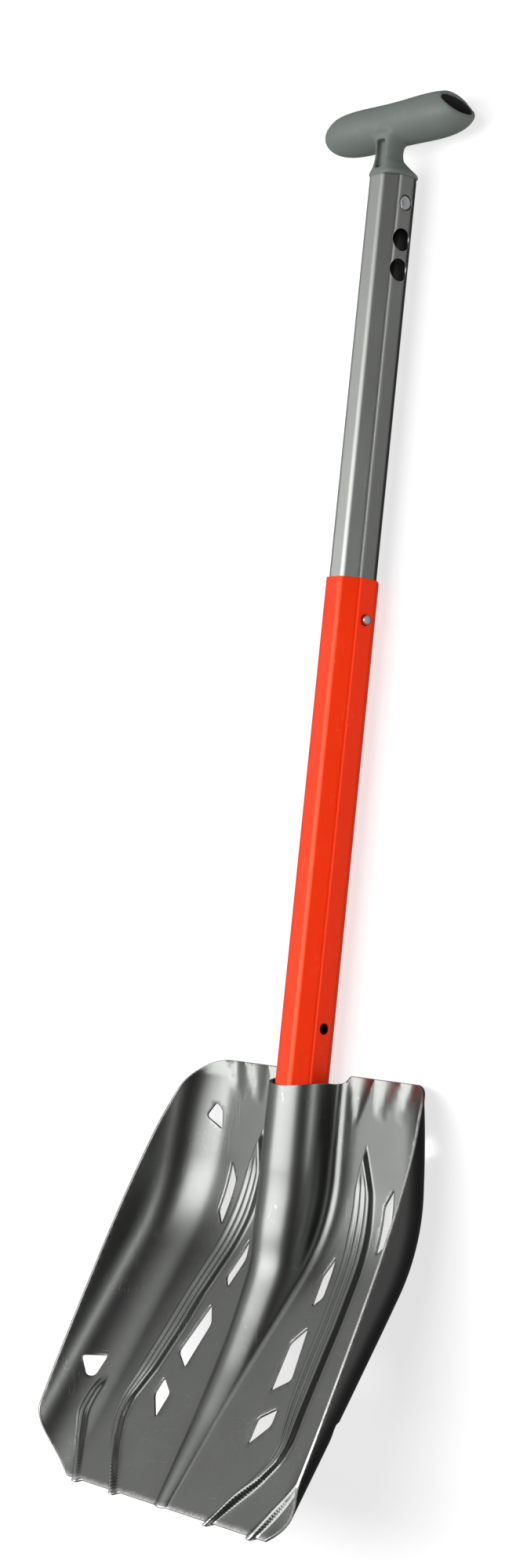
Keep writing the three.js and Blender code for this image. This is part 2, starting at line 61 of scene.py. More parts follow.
# Heights up the shaft.
LOWER_END, LOWER_TOP = -78, 295
UPPER_END, UPPER_TOP = 222, 534
BLADE_BUTTON_Z, SHORT_HOLE_Z, LENGTH_BUTTON_Z = -32, 34, 271
CORD_HOLES_Z = (496, 478)
RIVET_Z, GRIP_Z = 518, 567

# How far the buttons stand out of the lower tube, and the gap round them in their holes.
LENGTH_BUTTON_STAND, BLADE_BUTTON_STAND, BUTTON_GAP = 2.6, 1.2, 0.3
# Radius of the holes for the grip's rivet.
RIVET_HOLE = 4.6
# Plate behind the socket: its front, half width, lowest and highest edge, and the radius of
# its hole for the blade's button.
PLATE_FRONT, PLATE_HALF, PLATE_LOW, PLATE_HIGH, PLATE_HOLE = 15.3, 38, -56, 3, 4.3

# The panel runs straight down to the bend, round an arc and down a slope. The walls turn up
# round an arc and run straight to the rim, which lies at RIM_Y + RIM_SLOPE * z.
PANEL_Y = 13
BEND_START, BEND_LENGTH, LEAN = -50, 55, 0.53
WALL_RADIUS, WALL_TURN = 31, math.radians(86)
RIM_Y, RIM_SLOPE = -1.8, 0.3655
# Corners: the radius of the upper ones, and the height and width cut off the lower ones.
TOP_CORNER, BOTTOM_CORNER, BOTTOM_CUT = 20, 36, 32
# The ridge's crest and foot arcs, as shares of one arc that would span its height and width.
CREST_SHARE, FOOT_SHARE = 0.78, 0.22
# The top edge dips over the ridge, by this much and over this half width.
TOP_DIP, TOP_DIP_HALF = 9, 26
# Flanks of the ribs, the two fine grooves across a main rib, and how far the ribs run past
# the cutting edge.
RIB_FLANK, OUTER_RIB_FLANK = 2.6, 2.4
GROOVE_SHARES, GROOVE_WIDTH = (0.36, 0.64), 0.75
RUN_OUT = 2.4

# Ridge that wraps the shaft: z, half width, height.
RIDGE = np.array([
    (20, 26, 31.6), (0, 26, 31.6), (-50, 27.5, 31.7), (-70, 27.2, 30.4), (-85, 26.5, 27.5),
    (-106, 24.3, 18.5), (-134, 20, 11.8), (-160, 15.7, 7), (-190, 11.2, 4.2), (-238, 6.2, 3),
])
# Raised bands of the blade: z, inner edge, outer edge.
MAIN_RIB = np.array([
    (-28, 46.5, 46.9), (-40, 43.6, 51.6), (-55, 41, 57.4), (-79, 43, 61.8), (-100, 47, 64.9),
    (-128, 53, 69.6), (-148, 55.3, 71.9), (-172, 60, 74.8), (-190, 66.6, 77.6), (-200, 66.4, 76.4),
    (-213, 60, 68.5), (-225, 51, 57.6), (-240, 37.5, 44.4),
])
OUTER_RIB = np.array([
    (-180, 96, 102.6), (-192, 98.2, 105.4), (-203, 98.6, 105.8), (-217, 91, 98),
    (-228, 83, 90.5), (-240, 74.5, 82),
])
# Flutes sunk into the top edge: inner and outer edge there, then the point they run to.
FLUTES = ((27, 47.5, 35, -20), (48.5, 69.5, 53, -17), (71, 87, 73, -14))
# Corners of the cut-outs on one side, which the other side mirrors.
CUT_OUTS = (
    ((91, -17), (86, -21), (85, -33), (97, -26)),
    ((73, -50), (66.5, -61), (69.5, -88), (76.5, -80)),
    ((39, -92), (34.5, -104), (38, -121), (44, -115)),
    ((44, -131), (35.5, -141.5), (39, -167.5), (51.5, -159.5)),
    ((52, -174.5), (40, -182), (42, -196.5), (53.5, -184)),
    ((120, -172), (105, -170.5), (106.5, -183), (111.5, -183)),
)


# ---------------------------------------------------------------- settings

def length(name, text, millimetres):
    """A setting in metres whose default is given in millimetres."""
    return FloatProperty(
        name=name, description=text, default=millimetres / 1000, min=0,
        subtype="DISTANCE", unit="LENGTH", precision=4,
    )


def colour(name, text, value):
    """A setting for a colour, as linear red, green and blue from 0 to 1."""
    return FloatVectorProperty(
        name=name, description=text, default=value, size=3, min=0, max=1, subtype="COLOR",
    )


class BladeSizes(bpy.types.PropertyGroup):
    """Sizes of the stamped blade"""
    sheet: length("Sheet", "Thickness of the stamped sheet", 1.8)
    edge_round: length("Edge round", "Rounding along every edge of the sheet", 0.35)
    rib_height: length("Rib height", "How far the main ribs stand out of the panel", 3)
    groove_depth: length("Groove depth", "Depth of the fine grooves along each main rib", 0.9)
    outer_rib_height: length("Outer rib height", "Height of the low ribs at the corners", 2.4)
    flute_depth: length("Flute depth", "Depth of the flutes at the top edge", 1.7)
    hole_round: length("Hole round", "Rounding of the corners of the cut-outs", 2.4)


class ShaftSizes(bpy.types.PropertyGroup):
    """Sizes of the two tubes and the locks"""
    lower_flats: length("Lower flats", "Lower tube, across its flats", 30)
    upper_flats: length("Upper flats", "Upper tube, across its flats", 27)
    wall: length("Wall", "Wall of both tubes", 1.2)
    corner: length("Corner", "Outer radius of the tubes' corners", 4.4)
    cord_hole: length("Cord hole", "Radius of the two cord holes", 6.5)
    length_button: length("Length button", "Radius of the button that locks the length", 2.9)
    blade_button: length("Blade button", "Radius of the button that locks the blade", 4)


class GripSizes(bpy.types.PropertyGroup):
    """Sizes of the grip's bar and neck"""
    span: length("Span", "Length of the bar", 122)
    depth: length("Depth", "Bar, from front to back", 31)
    height: length("Height", "Bar, along the shaft", 27)
    neck_forward: length("Neck forward", "How far the neck stands in front of the shaft's axis", 5)


class ShovelColours(bpy.types.PropertyGroup):
    """Colours of the finishes"""
    blade: colour("Blade", "Dark satin anodised sheet", (0.162, 0.167, 0.160))
    lower_tube: colour("Lower tube", "Orange anodised tube", (1.0, 0.034, 0.0))
    upper_tube: colour("Upper tube", "Grey anodised tube", (0.30, 0.308, 0.295))
    grip: colour("Grip", "Moulded grip", (0.118, 0.136, 0.122))
    steel: colour("Steel", "Spring leaves, buttons and rivets", (0.55, 0.56, 0.57))
    black_plastic: colour("Black plastic", "Bush and end plug", (0.012, 0.012, 0.012))
    floor: colour("Floor", "Studio floor", (0.32, 0.32, 0.32))


# ---------------------------------------------------------------- meshes

def laid_down(vectors):
    """The drawing's (x, y, z) lies down as (x, z, -y) in the frame."""
    x, y, z = np.moveaxis(np.asarray(vectors, float), -1, 0)
    return np.stack([x, z, -y], -1)


def to_frame(points):
    """Drawing millimetres to metres in the frame, moved to the mouth and the shaft's axis."""
    return laid_down(points) / 1000 + (0, MOUTH, AXIS_HEIGHT)


def new_piece(name, points, faces, finish=None, body=None, replaces=()):
    """A smooth mesh object from drawing points and a list of face arrays."""
    mesh = bpy.data.meshes.new(name)
    rows = [row for block in faces for row in np.asarray(block).tolist()]
    mesh.from_pydata(to_frame(points).tolist(), [], rows)
    mesh.validate()
    mesh.shade_smooth()
    piece = bpy.data.objects.new(name, mesh)
    bpy.context.scene.collection.objects.link(piece)
    if finish:
        mesh.materials.append(finish)
    if body:
        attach(piece, body)
        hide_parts(*replaces)
    return piece


def merge_doubles(mesh, turn_out=False):
    """Joins points less than a micrometre apart, and turns the faces outwards if asked."""
    work = bmesh.new()
    work.from_mesh(mesh)
    bmesh.ops.remove_doubles(work, verts=work.verts, dist=1e-6)
    if turn_out:
        bmesh.ops.recalc_face_normals(work, faces=work.faces)
    work.to_mesh(mesh)
    work.free()


def bake_modifiers(piece):
    """Replaces a piece's mesh by the result of its modifiers."""
    bpy.context.view_layer.update()
    evaluated = piece.evaluated_get(bpy.context.evaluated_depsgraph_get())
    mesh = bpy.data.meshes.new_from_object(evaluated)
    piece.modifiers.clear()
    piece.data = mesh
    mesh.shade_smooth()


def face_vectors(mesh, kind):
    """The faces' centres or normals as rows."""
    values = np.empty(3 * len(mesh.polygons))
    mesh.polygons.foreach_get(kind, values)
    return values.reshape(-1, 3)


def darken(piece, chosen):
    """Gives the chosen faces painted shade, a near-black finish, as the piece's second material."""
    piece.data.materials.append(finish_named("dark_bore"))
    piece.data.polygons.foreach_set("material_index", chosen.astype(np.int32))


def grid_faces(rows, columns):
    """Quads of a grid that is closed round its columns."""
    r, c = np.meshgrid(np.arange(rows - 1), np.arange(columns), indexing="ij")
    here = r * columns + c
    beside = r * columns + (c + 1) % columns
    return np.stack([here, beside, beside + columns, here + columns], -1).reshape(-1, 4)


def closed_tube(rings):
    """Points and faces of a stack of rings (row, column, xyz) with a fan over each end."""
    rings = np.asarray(rings, float)
    rows, columns = rings.shape[:2]
    points = np.concatenate([rings.reshape(-1, 3), rings[[0, -1]].mean(1)])
    turn = np.arange(columns)
    on = (turn + 1) % columns
    low = np.stack([on, turn, np.full(columns, rows * columns)], -1)
    base = (rows - 1) * columns
    high = np.stack([base + turn, base + on, np.full(columns, rows * columns + 1)], -1)
    return points, [grid_faces(rows, columns), low, high]


def lathe(profile, columns, centre, along):
    """A turned solid: profile rows are (radius, distance), carried round an axis.

    A point lies at centre + along * distance + radius * (side * cos t + up * sin t).
    """
    profile = np.asarray(profile, float)
    along = np.asarray(along, float)
    side = np.array([0, 0, 1.0]) if abs(along[2]) < 0.5 else np.array([1.0, 0, 0])
    up = np.cross(along, side)
    t = np.linspace(0, 2 * np.pi, columns, endpoint=False)
    spoke = np.cos(t)[:, None] * side + np.sin(t)[:, None] * up
    radius = np.maximum(profile[:, 0], 0.01)
    rings = radius[:, None, None] * spoke + profile[:, 1, None, None] * along
    return closed_tube(rings + np.asarray(centre, float))


def curve(points, samples=12):
    """A profile through corner points, with each inner corner rounded by a parabola.

    Rows are (radius, distance, rounding): the corner is cut off that far along both sides.
    """
    points = np.asarray(points, float)
    spots = points[:, :2]
    out = [spots[:1]]
    t = np.linspace(0, 1, samples)[:, None]
    for before, here, after, cut in zip(spots[:-2], spots[1:-1], spots[2:], points[1:-1, 2]):
        a = here + (before - here) / np.linalg.norm(before - here) * cut
        b = here + (after - here) / np.linalg.norm(after - here) * cut
        out.append(a * (1 - t) ** 2 + here * 2 * t * (1 - t) + b * t ** 2)
    out.append(spots[-1:])
    return np.concatenate(out)


def rounded_ring(corners, cut, step=1.0):
    """A closed ring, anticlockwise, with its corners rounded by parabolas."""
    corners = np.asarray(corners, float)
    ahead = np.roll(corners, -1, 0)
    if np.sum(corners[:, 0] * ahead[:, 1] - ahead[:, 0] * corners[:, 1]) < 0:
        corners = corners[::-1]
        ahead = np.roll(corners, -1, 0)
    behind = np.roll(corners, 1, 0)
    to_next = (ahead - corners) / np.linalg.norm(ahead - corners, axis=1)[:, None]
    to_last = (behind - corners) / np.linalg.norm(behind - corners, axis=1)[:, None]
    t = np.linspace(0, 1, 8)[None, :, None]
    a = (corners + to_last * cut)[:, None]
    b = (corners + to_next * cut)[:, None]
    path = (a * (1 - t) ** 2 + corners[:, None] * 2 * t * (1 - t) + b * t ** 2).reshape(-1, 2)
    return even_ring(path, step)


def even_ring(path, step):
    """The same closed ring with points an even distance apart."""
    closed = np.concatenate([path, path[:1]])
    far = np.concatenate([[0], np.cumsum(np.linalg.norm(np.diff(closed, axis=0), axis=1))])
    count = max(int(far[-1] / step), 8)
    at = np.linspace(0, far[-1], count, endpoint=False)
    return np.stack([np.interp(at, far, closed[:, 0]), np.interp(at, far, closed[:, 1])], -1)


def outward(ring):
    """Unit directions out of an anticlockwise ring, at its points."""
    ahead, behind = np.roll(ring, -1, 0), np.roll(ring, 1, 0)
    run = ahead - behind
    normal = np.stack([run[:, 1], -run[:, 0]], -1)
    return normal / np.linalg.norm(normal, axis=1)[:, None]


def inside(ring, points):
    """Which points lie inside a ring: an odd number of its sides is crossed on the way out."""
    x, y = points[:, 0], points[:, 1]
    odd = np.zeros(len(points), bool)
    ahead = np.roll(ring, -1, 0)
    for (x0, y0), (x1, y1) in zip(ring, ahead):
        spans = (y0 > y) != (y1 > y)
        if spans.any():
            across = x0 + (y[spans] - y0) * (x1 - x0) / (y1 - y0)
            odd[spans] ^= x[spans] < across
    return odd


def clear_points(outline, rings, points, near):
    """The points inside the outline that lie in no hole and not too near to any ring."""
    keep = inside(outline, points)
    for ring in rings:
        for block in np.array_split(ring, max(len(ring) // 60, 1)):
            low, high = block.min(0) - near, block.max(0) + near
            maybe = np.flatnonzero(keep & np.all((points > low) & (points < high), 1))
            gaps = np.linalg.norm(points[maybe][:, None] - block, axis=2).min(1)
            keep[maybe[gaps < near]] = False
    for ring in rings[1:]:
        keep &= ~inside(ring, points)
    return points[keep]


def fill_rings(flat, rings):
    """Anticlockwise triangles that fill the first ring and leave the other rings open.

    The rings' own points come first among the points. A triangle counts as inside if its
    middle is, and one with no area is dropped.
    """
    sides, start = [], 0
    for ring in rings:
        turn = np.arange(len(ring))
        sides.append(start + np.stack([turn, (turn + 1) % len(ring)], -1))
        start += len(ring)
    made = geometry.delaunay_2d_cdt(flat.tolist(), np.concatenate(sides).tolist(), [], 0, 1e-7)
    if len(made[0]) != len(flat):
        raise RuntimeError("two points of a sheet fell together")
    tris = np.array(made[2])
    middle = flat[tris].mean(1)
    use = inside(rings[0], middle)
    for ring in rings[1:]:
        use &= ~inside(ring, middle)
    tris = tris[use]
    a, b, c = (flat[tris[:, corner]] for corner in range(3))
    area = (b[:, 0] - a[:, 0]) * (c[:, 1] - a[:, 1]) - (b[:, 1] - a[:, 1]) * (c[:, 0] - a[:, 0])
    tris[area < 0] = tris[area < 0][:, ::-1]
    return tris[np.abs(area) > 1e-9]


def open_sides(tris, count):
    """The sides that only one triangle has, as pairs of point numbers."""
    sides = np.concatenate([tris[:, [0, 1]], tris[:, [1, 2]], tris[:, [2, 0]]])
    there, back = sides[:, 0] * count + sides[:, 1], sides[:, 1] * count + sides[:, 0]
    return sides[~np.isin(there, back)]


def pierced_sheet(point, thickness, edge, outline, holes, interior, seam=False, near=0.6):
    """Points and faces of a sheet with holes and a rounded edge all round.

    point(u, v, depth) gives places under the front face. The front is a triangulated patch
    of the (u, v) plane, the back is the same patch at the full thickness, and a rim of
    quarter rounds joins them: a step at angle t round a quarter lies edge * sin t further
    out and edge * (1 - cos t) deep. A seam sheet closes on itself along u, and has its rim
    only at its ends along v. The points of the front come first, then those of the back.
    """
    out = outward(outline)
    if seam:
        ends = np.isclose(outline[:, 1], outline[:, 1].min()) * -1.0
        ends += np.isclose(outline[:, 1], outline[:, 1].max())
        out = np.stack([np.zeros(len(outline)), ends], -1)
    rings = [outline - out * edge]
    pushes = [out]
    for hole in holes:
        away = outward(hole)
        rings.append(hole + away * edge)
        pushes.append(-away)
    flat = np.concatenate(rings + [clear_points(outline, rings, interior, near)])
    count = len(flat)
    tris = fill_rings(flat, rings)
    rim = open_sides(tris, count)
    if seam:
        on_seam = (rim < len(outline)).all(1) & (flat[rim[:, 0], 1] != flat[rim[:, 1], 1])
        rim = rim[~on_seam]
    used = np.unique(rim)
    push = np.concatenate(pushes)[used]
    steps = [(edge * np.sin(t), edge * (1 - np.cos(t))) for t in np.radians([30, 60, 90])]
    steps += [(far, thickness - deep) for far, deep in steps[::-1]]
    layers = [point(*flat.T, 0.0), point(*flat.T, thickness)]
    layers += [point(*(flat[used] + push * far).T, deep) for far, deep in steps]
    place = np.searchsorted(used, rim)
    levels = [rim, *(2 * count + k * len(used) + place for k in range(len(steps))), rim + count]
    quads = [
        np.stack([low[:, 1], low[:, 0], high[:, 0], high[:, 1]], -1)
        for low, high in zip(levels[:-1], levels[1:])
    ]
    return np.concatenate(layers), [tris, tris[:, ::-1] + count, *quads]


# ---------------------------------------------------------------- blade surface

def smooth_table(table, blur=5.0):
    """Heights and columns of a table, run through by a bell-shaped blur along z.

    The rows are first spread to one a millimetre. The blur reaches 15 mm each way, so 16
    rows at each end, where it runs out of values, are dropped.
    """
    z = np.arange(-262.0, 45.0, 1.0)
    kernel = np.exp(-0.5 * (np.arange(-15, 16) / blur) ** 2)
    kernel /= kernel.sum()
    order = np.argsort(table[:, 0])
    columns = [np.interp(z, table[order, 0], table[order, k]) for k in (1, 2)]
    return [row[16:-16] for row in (z, *(np.convolve(c, kernel, "same") for c in columns))]


RIDGE_LINES = smooth_table(RIDGE)
RIB_LINES = smooth_table(MAIN_RIB, 2.0)
OUTER_RIB_LINES = smooth_table(OUTER_RIB, 2.5)


def ease(value):
    """0 below 0, 1 above 1 and a smooth step between."""
    value = np.clip(value, 0, 1)
    return value * value * (3 - 2 * value)


def panel_y(z):
    """The panel: straight, then an arc of the bend's length, then a straight slope."""
    radius = BEND_LENGTH / math.sin(math.atan(LEAN))
    below = BEND_START - z
    in_bend = np.clip(below, 0, BEND_LENGTH)
    sag = radius - np.sqrt(radius ** 2 - in_bend ** 2)
    return PANEL_Y - sag - LEAN * np.maximum(below - BEND_LENGTH, 0)


def wall_start(z):
    """Where the wall leaves the panel: a constant width, drawn in near the mouth by an
    exponential curve along z."""
    return 88.5 - 12 * np.exp(np.minimum(z, 0) / 60)


def reach(z):
    """Distance along the section from the middle to the rim, with the corners taken off.

    Panel, wall arc and straight wall are added up to the depth of the rim. The upper corner
    is a quarter circle, and the lower one grows with the power 1.5 of the way down.
    """
    depth = panel_y(z) - (RIM_Y + RIM_SLOPE * z)
    arc_depth = WALL_RADIUS * (1 - math.cos(WALL_TURN))
    curved = WALL_RADIUS * np.arccos(1 - np.minimum(depth, arc_depth) / WALL_RADIUS)
    beyond = np.maximum(depth - arc_depth, 0) / math.sin(WALL_TURN)
    into_top = np.clip(TOP_CORNER - (BLADE_TOP - z), 0, TOP_CORNER)
    top_loss = TOP_CORNER - np.sqrt(np.maximum(TOP_CORNER ** 2 - into_top ** 2, 0))
    into_bottom = np.clip(1 - (z - BLADE_BOTTOM) / BOTTOM_CORNER, 0, 1)
    return wall_start(z) + curved + beyond - top_loss - BOTTOM_CUT * into_bottom ** 1.5


def blade_base(along, z):
    """The plain front face, at a signed distance along the section and a height.

    Middle: the ridge, an arc from its crest, a straight flank and a hollow arc at its foot,
    spread evenly over its half width. Then the flat panel, an arc of the wall's radius and a
    straight wall. The rows near the top dip at the ridge.
    """
    far, side = np.abs(along), np.sign(along)
    width = np.interp(z, RIDGE_LINES[0], RIDGE_LINES[1])
    height = np.interp(z, RIDGE_LINES[0], RIDGE_LINES[2])
    turn = np.minimum(2 * np.arctan(height / width), np.pi / 2)
    radius = width / np.sin(turn)
    crest, foot = CREST_SHARE * radius, FOOT_SHARE * radius
    flank = np.maximum(height - radius * (1 - np.cos(turn)), 0)
    total = radius * turn + flank
    run = np.clip(far / width, 0, 1) * total
    on_crest = np.minimum(run, crest * turn)
    on_foot = np.minimum(total - run, foot * turn)
    on_flank = np.clip(run - crest * turn, 0, flank)
    first = run <= crest * turn + flank
    panel = panel_y(z)
    x_first = crest * np.sin(on_crest / crest)
    y_first = panel - height + crest * (1 - np.cos(on_crest / crest)) + on_flank
    x_foot = width - foot * np.sin(on_foot / foot)
    y_foot = panel - foot * (1 - np.cos(on_foot / foot))
    x_ridge = np.where(first, x_first, x_foot)
    y_ridge = np.where(first, y_first, y_foot)
    on_wall = np.maximum(far - wall_start(z), 0)
    bend = np.minimum(on_wall / WALL_RADIUS, WALL_TURN)
    straight = on_wall - WALL_RADIUS * bend
    x_panel = np.minimum(far, wall_start(z)) + WALL_RADIUS * np.sin(bend)
    x_panel += straight * math.cos(WALL_TURN)
    y_panel = panel - WALL_RADIUS * (1 - np.cos(bend)) - straight * math.sin(WALL_TURN)
    ridge = far < width
    x = np.where(ridge, x_ridge, x_panel)
    y = np.where(ridge, y_ridge, y_panel)
    down = np.clip((z - BEND_START) / (BLADE_TOP - BEND_START), 0, 1)
    dip = TOP_DIP * np.sqrt(np.maximum(1 - (x / TOP_DIP_HALF) ** 2, 0)) * down
    return np.stack([side * x, y, z - dip], -1)


def band(far, z, lines, flank):
    """A raised band between two lines: a smooth step up over each flank, lower where the
    band is narrower than its flanks. Also gives the two lines at each height."""
    inner = np.interp(z, lines[0], lines[1])
    outer = np.interp(z, lines[0], lines[2])
    half = np.maximum((outer - inner) / 2, 0.01)
    slope = np.minimum(flank, half)
    edge = np.minimum(far - inner, outer - far)
    return ease(edge / slope) * ease(half / (1.3 * flank)), inner, outer


def blade_relief(along, z, sizes, depth):
    """How far the stamping stands out of the plain face: ribs up, flutes and grooves down.

    A rib is a raised band that grows by half towards the cutting edge. A groove is a bell
    curve across a rib, only on the front side. A flute is a parabola across a wedge that
    narrows from the top edge to its tip.
    """
    far = np.abs(along)
    rib, inner, outer = band(far, z, RIB_LINES, RIB_FLANK)
    taller = 1 + 0.5 * ease((-195 - z) / 40)
    lift = 1000 * sizes.rib_height * (rib * ease((-27 - z) / 8)) * taller
    share = np.clip((outer - inner - 7) / 6, 0, 1)
    for part in GROOVE_SHARES:
        line = inner + (outer - inner) * part
        groove = np.exp(-((far - line) / GROOVE_WIDTH) ** 2) * share * ease((-44 - z) / 10)
        lift = lift - 1000 * sizes.groove_depth * groove * (depth < sizes.sheet * 500)
    low, _, _ = band(far, z, OUTER_RIB_LINES, OUTER_RIB_FLANK)
    lift = lift + 1000 * sizes.outer_rib_height * low * ease((-181 - z) / 10) * taller
    for left, right, tip, tip_z in FLUTES:
        share = np.clip((z - tip_z) / (BLADE_TOP - tip_z), 0, 1)
        centre = tip + ((left + right) / 2 - tip) * share
        half = np.maximum((right - left) / 2 * share, 0.01)
        bowl = np.clip(1 - ((far - centre) / half) ** 2, 0, 1)
        lift = lift - 1000 * sizes.flute_depth * bowl * share ** 0.8
    return lift


def blade_point(sizes):
    """The stamped sheet as a function of place and depth."""
    def point(along, z, depth):
        """A place under the front face: the plain face, moved out by the stamping along its
        own normal and in by the depth. The normal is the cross product of small steps along
        and up. Raised bands run out a little past the cutting edge."""
        d = 0.05
        across = blade_base(along + d, z) - blade_base(along - d, z)
        up = blade_base(along, z + d) - blade_base(along, z - d)
        normal = np.cross(across, up)
        normal /= np.linalg.norm(normal, axis=-1)[:, None]
        move = blade_relief(along, z, sizes, depth) - depth
        raised = np.clip(blade_relief(along, z, sizes, 1.0) / 3, 0, 1.4)
        place = blade_base(along, z) + normal * move[:, None]
        place[:, 2] -= RUN_OUT * raised * ease((-220 - z) / 17)
        return place
    return point


def blade_grid(z):
    """Points inside the sheet: rows at even heights, and columns that run along the ridge's
    foot and the edges of the ribs, evenly spread from each line to the next."""
    ridge = np.interp(z, RIDGE_LINES[0], RIDGE_LINES[1])
    ribs = [
        np.interp(z, lines[0], lines[k]) + (1.2 if k == 2 else -1.2)
        for lines in (RIB_LINES, OUTER_RIB_LINES) for k in (1, 2)
    ]
    rim = np.maximum(reach(z) - 0.8, ribs[-1] + 4)
    knots = [np.zeros(len(z)), ridge, *ribs, rim]
    columns = []
    for left, right, count in zip(knots[:-1], knots[1:], (22, 9, 26, 13, 11, 20)):
        share = np.arange(count) / count
        columns.append(left[:, None] + (right - left)[:, None] * share)
    half = np.concatenate(columns + [rim[:, None]], 1)
    along = np.concatenate([-half[:, :0:-1], half], 1)
    return np.stack([along, np.broadcast_to(z[:, None], along.shape)], -1).reshape(-1, 2)


def blade_outline():
    """The sheet's outline, anticlockwise, in distance along the section and height."""
    low, high = BLADE_BOTTOM + BOTTOM_CORNER, BLADE_TOP - TOP_CORNER
    z = np.concatenate([
        np.linspace(BLADE_BOTTOM, low, 40), np.linspace(low + 0.5, high, 160)[1:],
        BLADE_TOP - TOP_CORNER * (1 - np.sin(np.linspace(0, np.pi / 2, 24)))[1:],
    ])
    side = np.stack([reach(z), z], -1)
    return even_ring(np.concatenate([side, side[::-1] * (-1, 1)]), 1.2)


# ---------------------------------------------------------------- tubes

def tube_profile(flats, corner):
    """Once round an octagon: distance run, place, and the direction that the wall faces.

    Each corner is an arc of 45 degrees about a point on a smaller octagon, and the flats are
    the straight runs between arcs. It starts at the end of the flat that faces 225 degrees.
    """
    steps = np.arange(5, 13)
    t = np.radians(45 * steps[:, None] + np.linspace(0, 45, 7)[None, :])
    middle = np.radians(45 * steps + 22.5)
    out = (flats / 2 - corner) / math.cos(math.pi / 8)
    x = out * np.cos(middle)[:, None] + corner * np.cos(t)
    y = out * np.sin(middle)[:, None] + corner * np.sin(t)
    x, y, t = (np.append(v.ravel(), v.ravel()[0]) for v in (x, y, t))
    t[-1] = t[0] + 2 * np.pi
    far = np.concatenate([[0], np.cumsum(np.hypot(np.diff(x), np.diff(y)))])
    return far, x, y, t


def tube_sheet(flats, wall, corner, bottom, top, holes, step=9.0):
    """An octagonal tube as a rolled sheet, with round holes: rows are (radius, z, direction).

    A hole is the ring where a drill meets the tube: the drill's sideways distance is looked
    up in the profile to give the distance round the tube. Rows of points lie a step apart,
    and 1 mm apart past each hole.
    """
    far, x, y, t = tube_profile(flats, corner)

    def point(u, z, depth):
        """The profile's place at a distance u round it, moved in against its direction."""
        angle = np.interp(u, far, t)
        px = np.interp(u, far, x) - depth * np.cos(angle)
        py = np.interp(u, far, y) - depth * np.sin(angle)
        return np.stack([px, py, z], -1)

    rings = []
    turn = np.linspace(0, 2 * np.pi, 64, endpoint=False)
    for radius, z, direction in holes:
        facing = np.cos(t - direction) > 0.4
        across = y * math.cos(direction) - x * math.sin(direction)
        order = np.argsort(across[facing])
        u = np.interp(radius * np.cos(turn), across[facing][order], far[facing][order])
        rings.append(np.stack([u, z + radius * np.sin(turn)], -1))
    arc_starts, arc_ends = far[::7], far[6::7]
    columns = np.concatenate([far, arc_starts + 0.5, arc_ends + 0.5, arc_starts - 0.5])
    columns = np.unique(np.round(columns, 6))
    columns = columns[(columns > 0.2) & (columns < far[-1] - 0.2)]
    near_holes = [np.arange(z - radius - 3, z + radius + 3.5, 1.0) for radius, z, _ in holes]
    rows = np.linspace(bottom, top, int((top - bottom) / step) + 1)
    rows = np.unique(np.round(np.concatenate([rows, *near_holes]), 3))
    rows = rows[np.append(True, np.diff(rows) > 0.4)]
    middle_rows = rows[1:-1]
    edge_u = np.concatenate([[0], columns, [far[-1]]])
    outline = np.concatenate([
        np.stack([edge_u, np.full(len(edge_u), bottom)], -1),
        np.stack([np.full(len(middle_rows), far[-1]), middle_rows], -1),
        np.stack([edge_u[::-1], np.full(len(edge_u), top)], -1),
        np.stack([np.zeros(len(middle_rows)), middle_rows[::-1]], -1),
    ])
    grid_rows = np.concatenate([[bottom + 1.2], middle_rows, [top - 1.2]])
    grid = np.stack(np.meshgrid(columns, grid_rows), -1).reshape(-1, 2)
    return pierced_sheet(point, wall, 0.3, outline, rings, grid, seam=True, near=0.3)


def draw_tube(name, node, finish, flats, ends, holes):
    """A tube that stands for a CAD node: the sheet with its seam closed and its bore painted
    near-black as shade.
    """
    shaft = bpy.context.scene.shovel_shaft
    points, faces = tube_sheet(
        1000 * flats, 1000 * shaft.wall, 1000 * shaft.corner, *ends, holes,
    )
    piece = new_piece(name, points, faces, finish_named(finish), node, [node])
    # The sheet's inner face gets painted shade.
    number = np.arange(len(piece.data.polygons))
    darken(piece, (number >= len(faces[0])) & (number < len(faces[0]) + len(faces[1])))
    merge_doubles(piece.data)
    piece.data.shade_smooth()


# ---------------------------------------------------------------- shader expressions

class Wire:
    """A shader socket that takes part in arithmetic: each operator adds a Math node."""

    def __init__(self, nodes, socket):
        self.nodes = nodes
        self.socket = socket

    def math(self, operation, *values):
        """Adds a Math node for an operation on wires and numbers."""
        return self.nodes.add("ShaderNodeMath", {"operation": operation}, values)

    def __add__(self, other):
        return self.math("ADD", self, other)

    def __radd__(self, other):
        return self.math("ADD", other, self)

    def __sub__(self, other):
        return self.math("SUBTRACT", self, other)

    def __rsub__(self, other):
        return self.math("SUBTRACT", other, self)

    def __mul__(self, other):
        return self.math("MULTIPLY", self, other)

    def __rmul__(self, other):
        return self.math("MULTIPLY", other, self)

    def __abs__(self):
        return self.math("ABSOLUTE", self)

    def step(self, low, high):
        """0 at low, 1 at high and smooth between."""
        return self.nodes.add(
            "ShaderNodeMapRange", {"interpolation_type": "SMOOTHSTEP"},
            {"Value": self, "From Min": low, "From Max": high},
        )


